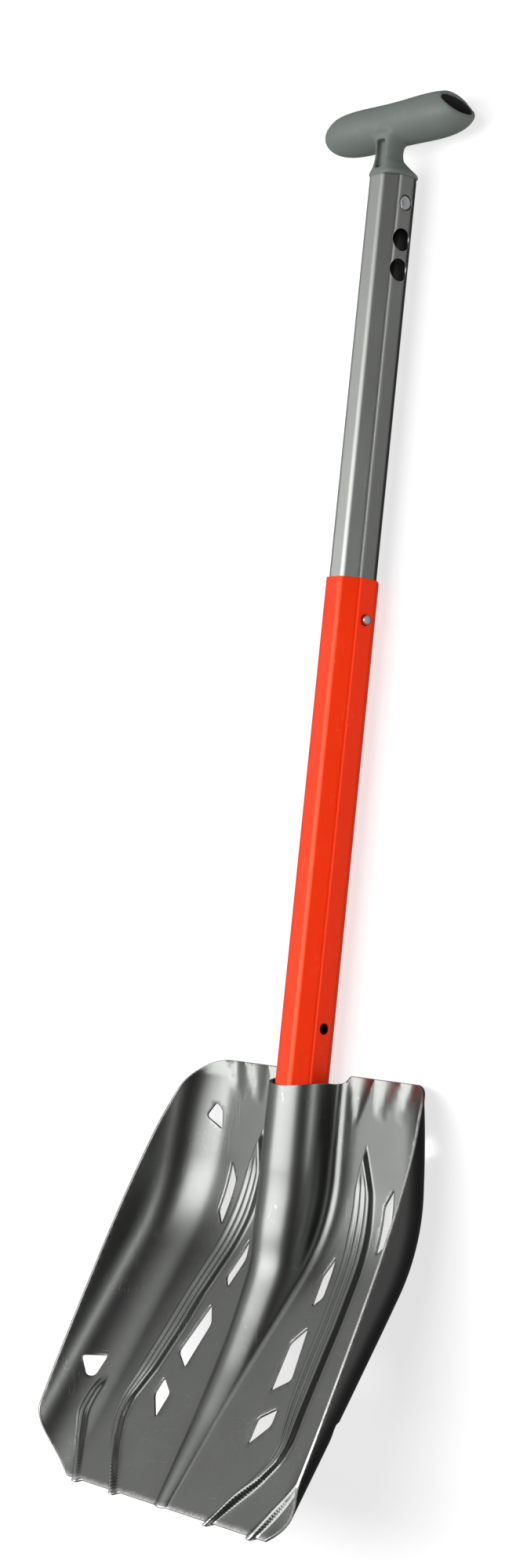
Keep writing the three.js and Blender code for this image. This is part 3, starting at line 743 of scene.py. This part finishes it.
class Nodes:
    """A shader's node tree, with one method that adds a node to it."""

    def __init__(self, tree):
        self.tree = tree
        tree.nodes.clear()

    def connect(self, value, socket):
        """Links a wire to a socket, or sets the socket to a number, vector or colour."""
        if isinstance(value, Wire):
            self.tree.links.new(value.socket, socket)
        elif socket.type == "RGBA":
            socket.default_value = (*value, 1)
        else:
            socket.default_value = value

    def add(self, kind, settings=None, inputs=(), output=0):
        """Adds a node: its settings first, then its inputs by name or number, or in order.

        A ramp's stops are pairs of place and brightness, from the first to the last.
        """
        node = self.tree.nodes.new(kind)
        for name, value in (settings or {}).items():
            if name == "stops":
                stops = node.color_ramp.elements
                for place, _ in value[1:-1]:
                    stops.new(place)
                for stop, (place, shade) in zip(stops, value):
                    stop.position = place
                    stop.color = (shade, shade, shade, 1)
            else:
                setattr(node, name, value)
        named = inputs.items() if isinstance(inputs, dict) else enumerate(inputs)
        for name, value in named:
            self.connect(value, node.inputs[name])
        return Wire(self, node.outputs[output])

    def end(self, kind, shader):
        """Adds the output node, and links the shader to it."""
        self.connect(shader, self.tree.nodes.new(kind).inputs["Surface"])


class Finish(Nodes):
    """A material with one Principled shader, and the methods that its patterns share."""

    def __init__(self, name):
        self.material = bpy.data.materials.new(name)
        self.material.use_nodes = True
        super().__init__(self.material.node_tree)

    def place(self):
        """Object coordinates: the frame's own metres."""
        return self.add("ShaderNodeTexCoord", output="Object")

    def stretched(self, x, y, z):
        """Object coordinates multiplied along each axis: a small number draws a pattern out."""
        return self.add(
            "ShaderNodeVectorMath", {"operation": "MULTIPLY"}, [self.place(), (x, y, z)],
        )

    def noise(self, where, scale, detail=3.0, roughness=0.55):
        """Cloudy noise from 0 to 1, with this many clouds in a metre."""
        return self.add(
            "ShaderNodeTexNoise", {},
            {"Vector": where, "Scale": scale, "Detail": detail, "Roughness": roughness},
        )

    def mix(self, factor, first, second):
        """The first colour at 0, the second at 1 and a straight blend between."""
        return self.add(
            "ShaderNodeMix", {"data_type": "RGBA"}, {0: factor, 6: first, 7: second}, output=2,
        )

    def bump(self, height, distance, strength):
        """A normal from a height that is 1 at this distance, in metres."""
        return self.add(
            "ShaderNodeBump", {},
            {"Height": height, "Distance": distance, "Strength": strength},
        )

    def surface(self, values):
        """Ends the material with the shader, whose sockets take these values."""
        shader = self.add("ShaderNodeBsdfPrincipled", {}, values)
        self.end("ShaderNodeOutputMaterial", shader)
        return self.material


def tinted(value, factor):
    """A colour made lighter or darker by a factor, up to white."""
    return tuple(min(channel * factor, 1) for channel in value)


def scratches(finish, where, scale, threshold):
    """Thin lines where a stretched, bent wave of noise crosses its middle."""
    bent = finish.noise(where, scale, 2.0, 0.5)
    near = abs(bent - 0.5)
    broken = finish.noise(finish.place(), 38, 2.0).step(0.5, 0.62)
    return (1 - near.step(0, threshold)) * broken


def blade_finish(name, value):
    """Satin anodised sheet: fine grain, cloudy tone, thin scratches, bright worn edges."""
    finish = Finish(name)
    grain = finish.noise(finish.place(), 2600, 2.0, 0.6)
    cloud = finish.noise(finish.place(), 22, 4.0, 0.6)
    fine = finish.noise(finish.place(), 240, 3.0, 0.6)
    lines = scratches(finish, finish.stretched(9, 1.2, 9), 16, 0.006)
    lines = lines + 0.7 * scratches(finish, finish.stretched(2, 11, 2), 11, 0.005)
    worn = finish.add("ShaderNodeAttribute", {"attribute_name": "wear"}, output="Fac")
    worn = (worn * (0.55 + fine)).step(0.35, 0.95)
    tone = finish.mix(cloud, tinted(value, 0.9), tinted(value, 1.1))
    tone = finish.mix(0.35 * lines, tone, tinted(value, 1.9))
    tone = finish.mix(0.75 * worn, tone, (0.62, 0.62, 0.61))
    rough = 0.29 + 0.06 * cloud + 0.05 * (fine - 0.5) - 0.07 * worn - 0.06 * lines
    height = 0.4 * grain + 0.25 * fine - 0.5 * lines
    return finish.surface({
        "Base Color": tone, "Metallic": 1.0, "Roughness": rough,
        "Normal": finish.bump(height, 0.00006, 0.5),
    })


def tube_finish(name, value, metallic, specular, roughness, pale):
    """Drawn and anodised tube: long faint draw lines, fine grain, thin pale scuffs."""
    finish = Finish(name)
    drawn = finish.noise(finish.stretched(1, 0.02, 1), 900, 3.0, 0.6)
    grain = finish.noise(finish.place(), 2400, 2.0, 0.6)
    cloud = finish.noise(finish.place(), 17, 4.0, 0.6)
    lines = scratches(finish, finish.stretched(6, 1.1, 6), 22, 0.006)
    tone = finish.mix(cloud, tinted(value, 0.92), tinted(value, 1.06))
    tone = finish.mix(0.25 * lines, tone, pale)
    rough = roughness + 0.05 * (cloud - 0.5) + 0.06 * (drawn - 0.5)
    height = 0.35 * grain + 0.3 * drawn - 0.4 * lines
    return finish.surface({
        "Base Color": tone, "Metallic": metallic, "Specular IOR Level": specular,
        "Roughness": rough, "Normal": finish.bump(height, 0.00005, 0.4),
    })


def plastic_finish(name, value, roughness, texture):
    """Moulded plastic: a fine spark-eroded texture, cloudy tone and a few rubbed places."""
    finish = Finish(name)
    pits = finish.noise(finish.place(), texture, 3.0, 0.65)
    soft = finish.noise(finish.place(), 31, 4.0, 0.6)
    rubbed = finish.noise(finish.place(), 85, 3.0, 0.6).step(0.55, 0.8)
    tone = finish.mix(soft, tinted(value, 0.86), tinted(value, 1.14))
    tone = finish.mix(0.16 * rubbed, tone, tinted(value, 1.9))
    rough = roughness + 0.1 * (soft - 0.5) - 0.1 * rubbed + 0.08 * (pits - 0.5)
    return finish.surface({
        "Base Color": tone, "Roughness": rough, "Normal": finish.bump(pits, 0.00022, 0.5),
    })


def steel_finish(name, value, roughness=0.28):
    """Satin steel: cloudy tone and roughness over a very fine grain."""
    finish = Finish(name)
    cloud = finish.noise(finish.place(), 120, 3.0, 0.6)
    grain = finish.noise(finish.place(), 3000, 2.0, 0.6)
    return finish.surface({
        "Base Color": finish.mix(cloud, tinted(value, 0.82), tinted(value, 1.12)),
        "Metallic": 1.0, "Roughness": roughness + 0.14 * (cloud - 0.5),
        "Normal": finish.bump(grain, 0.00004, 0.4),
    })


def finish_named(name):
    """The shared finishes, made the first time that one is asked for."""
    if name in bpy.data.materials:
        return bpy.data.materials[name]
    colours = bpy.context.scene.shovel_colours
    makers = {
        "blade_satin_anodised": (blade_finish, colours.blade),
        "orange_anodised": (tube_finish, colours.lower_tube, 0.35, 0.3, 0.3, (1, 0.2, 0.08)),
        "grey_anodised": (tube_finish, colours.upper_tube, 1.0, 0.5, 0.37, (0.7, 0.7, 0.69)),
        "grip_moulding": (plastic_finish, colours.grip, 0.56, 1500),
        "black_moulding": (plastic_finish, colours.black_plastic, 0.48, 1900),
        # Painted shade: a near-black finish for the insides of the tubes and the grip's pockets,
        # which are only dark because little light reaches them.
        "dark_bore": (plastic_finish, (0.016, 0.016, 0.016), 0.7, 1200),
        "spring_steel_satin": (steel_finish, colours.steel),
    }
    maker, *values = makers[name]
    return maker(name, *values)


# ---------------------------------------------------------------- pieces

class SHOVEL_OT_blade(bpy.types.Operator):
    """Stamp the pierced blade: ridge, ribs, flutes, walls and cut-outs in one sheet"""
    bl_idname = "shovel.blade"
    bl_label = "Blade"

    def execute(self, context):
        sizes = context.scene.shovel_blade
        rings = []
        for ring in CUT_OUTS:
            for side in (1, -1):
                corners = np.array(ring) * (side, 1)
                rings.append(rounded_ring(corners, 1000 * sizes.hole_round, 0.8))
        grid = blade_grid(np.linspace(BLADE_BOTTOM + 1.0, BLADE_TOP - 1.0, 176))
        points, faces = pierced_sheet(
            blade_point(sizes), 1000 * sizes.sheet, 1000 * sizes.edge_round,
            blade_outline(), rings, grid,
        )
        piece = new_piece(
            "blade_sheet", points, faces, finish_named("blade_satin_anodised"), "blade",
            ["blade"],
        )
        # Every rounded edge is worn, and so is the sheet near its cutting edge, where the
        # wear fades by a factor e every 3 mm.
        front_and_back = 2 * (faces[0].max() + 1)
        wear = np.exp(-(points[:, 2] - BLADE_BOTTOM) / 3.0)
        wear[front_and_back:] = np.maximum(wear[front_and_back:], 0.75)
        layer = piece.data.attributes.new("wear", "FLOAT", "POINT")
        layer.data.foreach_set("value", wear.astype(np.float32))
        return {"FINISHED"}


class SHOVEL_OT_socket(bpy.types.Operator):
    """Close the socket behind the shaft with a plate and its six rivets"""
    bl_idname = "shovel.socket"
    bl_label = "Socket plate and rivets"

    def execute(self, context):
        sizes = context.scene.shovel_blade
        outline = rounded_ring([
            (-PLATE_HALF, PLATE_LOW), (PLATE_HALF, PLATE_LOW),
            (PLATE_HALF, PLATE_HIGH), (-PLATE_HALF, PLATE_HIGH),
        ], 9, 1.4)
        turn = np.linspace(0, 2 * np.pi, 56, endpoint=False)
        hole = PLATE_HOLE * np.stack([np.cos(turn), np.sin(turn)], -1) + (0, BLADE_BUTTON_Z)
        sheet = 1000 * sizes.sheet

        def point(u, z, depth):
            """A flat plate, seen from behind: the depth goes from its back to its front."""
            return np.stack([-u, np.full(len(u), PLATE_FRONT + sheet - depth), z], -1)

        grid = np.stack(np.meshgrid(
            np.arange(2 - PLATE_HALF, PLATE_HALF - 1, 3.0),
            np.arange(PLATE_LOW + 2, PLATE_HIGH - 1, 3.0),
        ), -1)
        points, faces = pierced_sheet(
            point, sheet, 0.35, outline, [hole], grid.reshape(-1, 2), near=1.0,
        )
        new_piece(
            "socket_plate", points, faces, finish_named("blade_satin_anodised"), "blade",
            ["socket_back_plate"],
        )
        profile = curve([
            (0, -3.2, 0), (1.9, -3.2, 0.2), (1.9, 0.25, 0.1), (3.4, 0.25, 0.15),
            (3.4, 0.55, 0.25), (2.4, 1.45, 0.9), (0, 1.65, 0),
        ], 6)
        places = [(side * 33, PLATE_FRONT + sheet, z) for side in (1, -1) for z in (-3, -26, -49)]
        for number, place in enumerate(places, 1):
            points, faces = lathe(profile, 40, place, (0, 1, 0))
            new_piece(
                f"socket_rivet_head_{number}", points, faces, finish_named("spring_steel_satin"),
                "blade", [f"socket_rivet_{number}"],
            )
        return {"FINISHED"}


class SHOVEL_OT_lower_tube(bpy.types.Operator):
    """Draw the orange tube with its two setting holes and the hole for the blade lock"""
    bl_idname = "shovel.lower_tube"
    bl_label = "Lower tube"

    def execute(self, context):
        sizes = context.scene.shovel_shaft
        button = 1000 * sizes.length_button + BUTTON_GAP
        holes = [(button, LENGTH_BUTTON_Z, 0), (button, SHORT_HOLE_Z, 0)]
        holes.append((1000 * sizes.blade_button + BUTTON_GAP, BLADE_BUTTON_Z, math.pi / 2))
        draw_tube(
            "lower_tube", "lower_shaft", "orange_anodised",
            sizes.lower_flats, (LOWER_END, LOWER_TOP), holes,
        )
        return {"FINISHED"}


class SHOVEL_OT_upper_tube(bpy.types.Operator):
    """Draw the grey tube with its cord holes, rivet holes and button hole"""
    bl_idname = "shovel.upper_tube"
    bl_label = "Upper tube"

    def execute(self, context):
        sizes = context.scene.shovel_shaft
        holes = [(1000 * sizes.length_button + BUTTON_GAP, LENGTH_BUTTON_Z, 0)]
        holes += [(1000 * sizes.cord_hole, z, way) for z in CORD_HOLES_Z for way in (0, math.pi)]
        holes += [(RIVET_HOLE, RIVET_Z, way) for way in (0, math.pi)]
        draw_tube(
            "upper_tube", "upper_shaft", "grey_anodised",
            sizes.upper_flats, (UPPER_END, UPPER_TOP), holes,
        )
        return {"FINISHED"}


class SHOVEL_OT_locks(bpy.types.Operator):
    """Turn the two snap buttons and finish the pieces inside the tubes"""
    bl_idname = "shovel.locks"
    bl_label = "Locks and inner pieces"

    def execute(self, context):
        sizes = context.scene.shovel_shaft
        steel = finish_named("spring_steel_satin")
        face = 500 * sizes.lower_flats
        rows = (
            ("length_button", sizes.upper_flats, sizes.length_button, LENGTH_BUTTON_STAND,
             LENGTH_BUTTON_Z, (1, 0, 0), "length_lock", "length_lock_button"),
            ("blade_button", sizes.lower_flats, sizes.blade_button, BLADE_BUTTON_STAND,
             BLADE_BUTTON_Z, (0, 1, 0), "blade_lock", "blade_lock_button"),
        )
        for name, flats, radius, stand, z, along, body, node in rows:
            radius, tip = 1000 * radius, face + stand
            foot = 1000 * (flats - 2 * sizes.wall) / 2 - 1.3
            profile = curve([
                (0, foot, 0), (radius + 1, foot, 0.2), (radius + 1, foot + 1, 0.2),
                (radius, foot + 1, 0.15), (radius, tip - 0.15, 1.1), (0, tip, 0),
            ], 9)
            points, faces = lathe(profile, 64, (0, 0, z), along)
            new_piece(name, points, faces, steel, body, [node])
        for node in ("length_lock_spring", "blade_lock_spring"):
            give_finish(node, steel)
        for node in ("upper_guide_bush", "lower_end_plug"):
            give_finish(node, finish_named("black_moulding"))
        return {"FINISHED"}


def give_finish(node, finish):
    """Puts a finish in every material slot of a CAD node."""
    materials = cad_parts[node].data.materials
    if not materials:
        materials.append(finish)
    for index in range(len(materials)):
        materials[index] = finish


def super_ring(centre, half_x, half_y, power, columns=48):
    """A level ring: |x/a|^n + |y/b|^n = 1, with the cosine and sine raised to 2/n."""
    t = np.linspace(0, 2 * np.pi, columns, endpoint=False)
    c, s = np.cos(t), np.sin(t)
    x = half_x * np.sign(c) * np.abs(c) ** (2 / power)
    y = half_y * np.sign(s) * np.abs(s) ** (2 / power)
    return np.stack([x, y, np.zeros(columns)], -1) + np.asarray(centre, float)


def join_shells(name, shells):
    """One mesh from several closed shells, each given as points and faces, all turned out."""
    points, faces, start = [], [], 0
    for spots, blocks in shells:
        points.append(spots)
        faces += [np.asarray(block) + start for block in blocks]
        start += len(spots)
    piece = new_piece(name, np.concatenate(points), faces)
    merge_doubles(piece.data, turn_out=True)
    return piece


def even_mesh(piece, name, voxel):
    """A modifier that remakes the mesh with even faces of this size, in metres."""
    remesh = piece.modifiers.new(name, "REMESH")
    remesh.mode = "VOXEL"
    remesh.voxel_size = voxel


def soften(piece, name, rounds):
    """A modifier that moves each point half way to its neighbours' middle, several times."""
    smooth = piece.modifiers.new(name, "SMOOTH")
    smooth.factor = 0.5
    smooth.iterations = rounds


class SHOVEL_OT_grip(bpy.types.Operator):
    """Mould the T-grip: bar, neck, shoulder and plug in one body with open pockets"""
    bl_idname = "shovel.grip"
    bl_label = "Grip and rivet"

    def bar(self, sizes):
        """Rings along x: the half depth swells from the ends and dips a little in the middle,
        and the half height is the same curve scaled to the bar's height."""
        half = 500 * sizes.span
        t = np.linspace(-np.pi / 2, np.pi / 2, 81)
        x = half * np.sin(t)
        share = np.abs(x) / half
        swell = (1 - share ** 5.5) ** 0.45 * (0.95 + 0.05 * ease(share * 1.6))
        turn = np.linspace(0, 2 * np.pi, 72, endpoint=False)
        y = 500 * sizes.depth * swell[:, None] * np.cos(turn)
        z = GRIP_Z + 500 * sizes.height * swell[:, None] * np.sin(turn)
        return closed_tube(np.stack(np.broadcast_arrays(x[:, None], y, z), -1))

    def neck(self, sizes):
        """Level rings lofted from the shoulder on the tube, through the neck, into the bar."""
        forward = -1000 * sizes.neck_forward
        rows = [
            (534.3, 0, 13.3, 13.3, 3.2), (536, 0, 13.2, 13.2, 3.1), (537.4, -0.3, 12.4, 12.6, 2.8),
            (539.4, 0.28 * forward, 11.0, 11.2, 2.5), (541.5, 0.62 * forward, 9.7, 9.8, 2.4),
            (544, 0.9 * forward, 7.9, 8.2, 2.4), (548, forward, 7.5, 8.0, 2.4),
            (552, forward, 7.8, 8.2, 2.4), (555.5, 0.9 * forward, 9.4, 9.0, 2.4),
            (558.5, 0.7 * forward, 13.0, 10.6, 2.3), (562, 0.4 * forward, 16.0, 11.0, 2.2),
            (566, 0, 17.0, 10.5, 2.0),
        ]
        return closed_tube([super_ring((0, cy, z), a, b, n) for z, cy, a, b, n in rows])

    def plug(self, shaft):
        """The tube's own octagon, a little smaller than its bore, carried up to the neck."""
        flats = 1000 * (shaft.upper_flats - 2 * shaft.wall) - 0.6
        _, x, y, _ = tube_profile(flats, 1.6)
        ring = np.stack([x, y, np.zeros(len(x))], -1)[:-1]
        rows = ((508, 0.93), (509, 1), (520, 1), (535, 1))
        return closed_tube([ring * (share, share, 1) + (0, 0, z) for z, share in rows])

    def pocket_place(self, sizes, side):
        """A pocket's mouth, then its three directions: outwards, up and across. Outwards is
        tilted up from the bar's own axis, and across is the cross product of the others."""
        tilt = math.radians(40)
        along = np.array([side * math.cos(tilt), 0, math.sin(tilt)])
        up = np.array([-side * math.sin(tilt), 0, math.cos(tilt)])
        mouth = np.array([side * (500 * sizes.span - 10.5), 0, GRIP_Z + 4.5])
        return mouth, along, up, np.cross(up, along)

    def pocket(self, sizes, side):
        """Rings carried along a pocket's outward direction: an oval that opens towards its
        mouth, then a wide disc that cuts the bar's end off flat."""
        mouth, along, up, across = self.pocket_place(sizes, side)
        t = np.linspace(0, 2 * np.pi, 64, endpoint=False)
        rise, spread = np.cos(t)[:, None], np.sin(t)[:, None]
        rows = [
            (-17, 5.0, 8.0), (-16.6, 6.2, 9.3), (-15, 7.4, 10.4), (-8, 7.9, 10.9),
            (-1.2, 8.4, 11.3), (0, 9.4, 12.2), (0.02, 30, 30), (30, 30, 30),
        ]
        return closed_tube([
            mouth + along * far + tall * rise * up + wide * spread * across
            for far, tall, wide in rows
        ])

    def slots(self, sizes):
        """Cutters for the two shallow slots in the neck: level rings at its front, and the
        same rings turned to its back."""
        forward = 1000 * sizes.neck_forward
        rows = ((538.4, 2.6), (539.4, 3.6), (541, 4.0), (552, 4.0), (554, 3.7), (555, 2.8))
        points, faces = closed_tube([
            super_ring((0, -forward - 8.4, z), half, 5.0, 5) for z, half in rows
        ])
        behind = points * (1, -1, 1) - (0, forward - 2.2, 0)
        return (points, faces), (behind, [block[:, ::-1] for block in faces])

    def darken_pockets(self, piece, sizes):
        """Faces below a pocket's mouth, inside its oval and turned towards its axis or along it,
        get near-black painted shade."""
        centres = face_vectors(piece.data, "center")
        normals = face_vectors(piece.data, "normal")
        chosen = np.zeros(len(centres), bool)
        for side in (1, -1):
            mouth, *directions = self.pocket_place(sizes, side)
            along, up, across = laid_down(directions)
            deep, tall, wide = (1000 * (centres - to_frame(mouth)) @ v for v in (along, up, across))
            facing = tall * (normals @ up) + wide * (normals @ across)
            in_oval = (tall / 9.3) ** 2 + (wide / 12.2) ** 2 < 1
            chosen |= in_oval & (facing < 2) & (deep < -1.4) & (deep > -18)
        darken(piece, chosen)

    def execute(self, context):
        sizes, shaft = context.scene.shovel_grip, context.scene.shovel_shaft
        piece = join_shells("grip_body", [self.bar(sizes), self.neck(sizes), self.plug(shaft)])
        cutter = join_shells("grip_cutter", [
            self.pocket(sizes, 1), self.pocket(sizes, -1), *self.slots(sizes),
        ])
        even_mesh(piece, "Union", 0.0008)
        bake_modifiers(piece)
        soften(piece, "Fillet", 14)
        cut = piece.modifiers.new("Pockets", "BOOLEAN")
        cut.operation = "DIFFERENCE"
        cut.solver = "MANIFOLD"
        cut.object = cutter
        even_mesh(piece, "Even", 0.00065)
        soften(piece, "Edges", 5)
        bake_modifiers(piece)
        bpy.data.objects.remove(cutter)
        if len(piece.data.polygons) < 1000:
            raise RuntimeError("the grip came out empty")
        piece.data.materials.clear()
        piece.data.materials.append(finish_named("grip_moulding"))
        # The pockets' walls get painted shade.
        self.darken_pockets(piece, sizes)
        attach(piece, "upper_shaft")
        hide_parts("grip")
        profile = curve([
            (0, -13.2, 0), (3.7, -13.42, 0.4), (4.35, -12.9, 0.2), (2.5, -11.0, 0.2),
            (2.5, 11.0, 0.2), (4.35, 12.9, 0.2), (3.7, 13.42, 0.4), (0, 13.0, 0),
        ], 6)
        points, faces = lathe(profile, 64, (0, 0, RIVET_Z), (1, 0, 0))
        new_piece(
            "grip_rivet_head", points, faces, finish_named("spring_steel_satin"), "upper_shaft",
            ["grip_rivet"],
        )
        return {"FINISHED"}


# ---------------------------------------------------------------- stage


class SHOVEL_OT_stage(bpy.types.Operator):
    """Set the pale floor, the soft lights and the camera"""
    bl_idname = "shovel.stage"
    bl_label = "Stage"

    def floor(self, context):
        """A level square, 0.3 mm under the shovel, that glows softly and isn't reflected."""
        points = np.array([(-4, -4, 0), (4, -4, 0), (4, 4, 0), (-4, 4, 0)]) - (0, 0, 0.0003)
        mesh = bpy.data.meshes.new("studio_floor")
        mesh.from_pydata(points.tolist(), [], [(0, 1, 2, 3)])
        floor = bpy.data.objects.new("studio_floor", mesh)
        context.scene.collection.objects.link(floor)
        finish = Finish("studio_floor_matt")
        cloud = finish.noise(finish.place(), 3, 2.0)
        value = context.scene.shovel_colours.floor
        mesh.materials.append(finish.surface({
            "Base Color": finish.mix(cloud, tinted(value, 0.99), tinted(value, 1.01)),
            "Roughness": 0.9, "Emission Color": (1, 1, 1), "Emission Strength": 0.72,
        }))
        floor.visible_glossy = False

    def light(self, context, name, place, target, size, watts):
        """A rectangular light, turned so that it shines at a point."""
        lamp = bpy.data.lights.new(name, "AREA")
        lamp.shape = "RECTANGLE"
        lamp.size, lamp.size_y = size
        lamp.energy = watts
        thing = bpy.data.objects.new(name, lamp)
        context.scene.collection.objects.link(thing)
        thing.location = place
        way = Vector(target) - thing.location
        thing.rotation_euler = way.to_track_quat("-Z", "Y").to_euler()

    def sky(self, context):
        """Bands of soft grey that run along the shaft: the brightness follows the angle from
        straight up, turned about the shaft's direction, by the stops of a ramp."""
        stops = (
            (-180, 0.02), (-118, 0.06), (-92, 0.22), (-51, 0.5), (-26, 0.55), (10, 0.2),
            (22, 0.025), (64, 0.03), (78, 0.3), (92, 0.42), (104, 0.26), (130, 0.36),
            (152, 0.05), (180, 0.02),
        )
        world = bpy.data.worlds.new("studio_sky")
        context.scene.world = world
        world.use_nodes = True
        sky = Nodes(world.node_tree)
        where = sky.add("ShaderNodeTexCoord", output="Generated")
        x, z = (sky.add("ShaderNodeSeparateXYZ", {}, [where], axis) for axis in "XZ")
        share = sky.add("ShaderNodeMapRange", {}, {
            "Value": x.math("ARCTAN2", x, z), "From Min": -math.pi, "From Max": math.pi,
        })
        shade = sky.add("ShaderNodeValToRGB", {
            "stops": [((degrees + 180) / 360, value) for degrees, value in stops],
        }, [share])
        shine = sky.add("ShaderNodeBackground", {}, {"Color": shade, "Strength": 1.5})
        sky.end("ShaderNodeOutputWorld", shine)

    def camera(self, context):
        """The camera looks at the shovel from its right and above the scoop: its directions
        come from a turn, a rise and a roll in the drawing, and are then laid down."""
        turn, rise, roll = math.radians(51.26), math.radians(-4.05), math.radians(5.87)
        right = Vector((math.cos(turn), math.sin(turn), 0))
        back = Vector((
            math.sin(turn) * math.cos(rise), -math.cos(turn) * math.cos(rise), math.sin(rise),
        ))
        up = back.cross(right)
        side = math.cos(roll) * right + math.sin(roll) * up
        top = math.cos(roll) * up - math.sin(roll) * right
        lens = bpy.data.cameras.new("shovel_camera")
        lens.sensor_fit = "VERTICAL"
        lens.sensor_width = 36
        lens.sensor_height = 36
        lens.lens = 67.3
        lens.clip_end = 50
        camera = bpy.data.objects.new("shovel_camera", lens)
        context.scene.collection.objects.link(camera)
        matrix = Matrix(laid_down([side, top, back]).tolist()).transposed().to_4x4()
        matrix.translation = (1.2979, -0.1197, 1.1109)
        camera.matrix_world = matrix
        context.scene.camera = camera

    def execute(self, context):
        self.floor(context)
        self.sky(context)
        lights = (
            ("softbox_over", (-0.3, 0.0, 2.4), (0, 0, 0), (1.25, 3.4), 72),
            ("strip_right", (2.6, 0.0, 0.36), (0, 0, 0.02), (3.2, 0.3), 14),
        )
        for light in lights:
            self.light(context, *light)
        self.camera(context)
        context.scene.view_settings.view_transform = "Standard"
        context.scene.view_settings.exposure = 0.0
        return {"FINISHED"}


# ---------------------------------------------------------------- panel and running

class SHOVEL_PT_panel(bpy.types.Panel):
    """Lists the shovel's sizes, colours and pieces"""
    bl_label = "Avalanche Shovel"
    bl_idname = "SHOVEL_PT_panel"
    bl_space_type = "VIEW_3D"
    bl_region_type = "UI"
    bl_category = "Shovel"

    def draw(self, context):
        layout = self.layout
        for group in ("shovel_blade", "shovel_shaft", "shovel_grip", "shovel_colours"):
            settings = getattr(context.scene, group)
            box = layout.box()
            for name in settings.__annotations__:
                box.prop(settings, name)
        for operator in OPERATORS:
            layout.operator(operator.bl_idname)


SETTINGS = {
    "shovel_blade": BladeSizes, "shovel_shaft": ShaftSizes, "shovel_grip": GripSizes,
    "shovel_colours": ShovelColours,
}
OPERATORS = (
    SHOVEL_OT_blade, SHOVEL_OT_socket, SHOVEL_OT_lower_tube, SHOVEL_OT_upper_tube,
    SHOVEL_OT_locks, SHOVEL_OT_grip, SHOVEL_OT_stage,
)


def register():
    """Registers the settings, the operators and the panel."""
    for name, group in SETTINGS.items():
        bpy.utils.register_class(group)
        setattr(bpy.types.Scene, name, PointerProperty(type=group))
    for operator in OPERATORS:
        bpy.utils.register_class(operator)
    bpy.utils.register_class(SHOVEL_PT_panel)


def unregister():
    """Takes everything out again, in the opposite order."""
    bpy.utils.unregister_class(SHOVEL_PT_panel)
    for operator in reversed(OPERATORS):
        bpy.utils.unregister_class(operator)
    for name, group in SETTINGS.items():
        delattr(bpy.types.Scene, name)
        bpy.utils.unregister_class(group)


def main():
    """Builds the stage and every piece."""
    register()
    bpy.ops.shovel.stage()
    bpy.ops.shovel.blade()
    bpy.ops.shovel.socket()
    bpy.ops.shovel.lower_tube()
    bpy.ops.shovel.upper_tube()
    bpy.ops.shovel.locks()
    bpy.ops.shovel.grip()


if __name__ == "__main__":
    main()
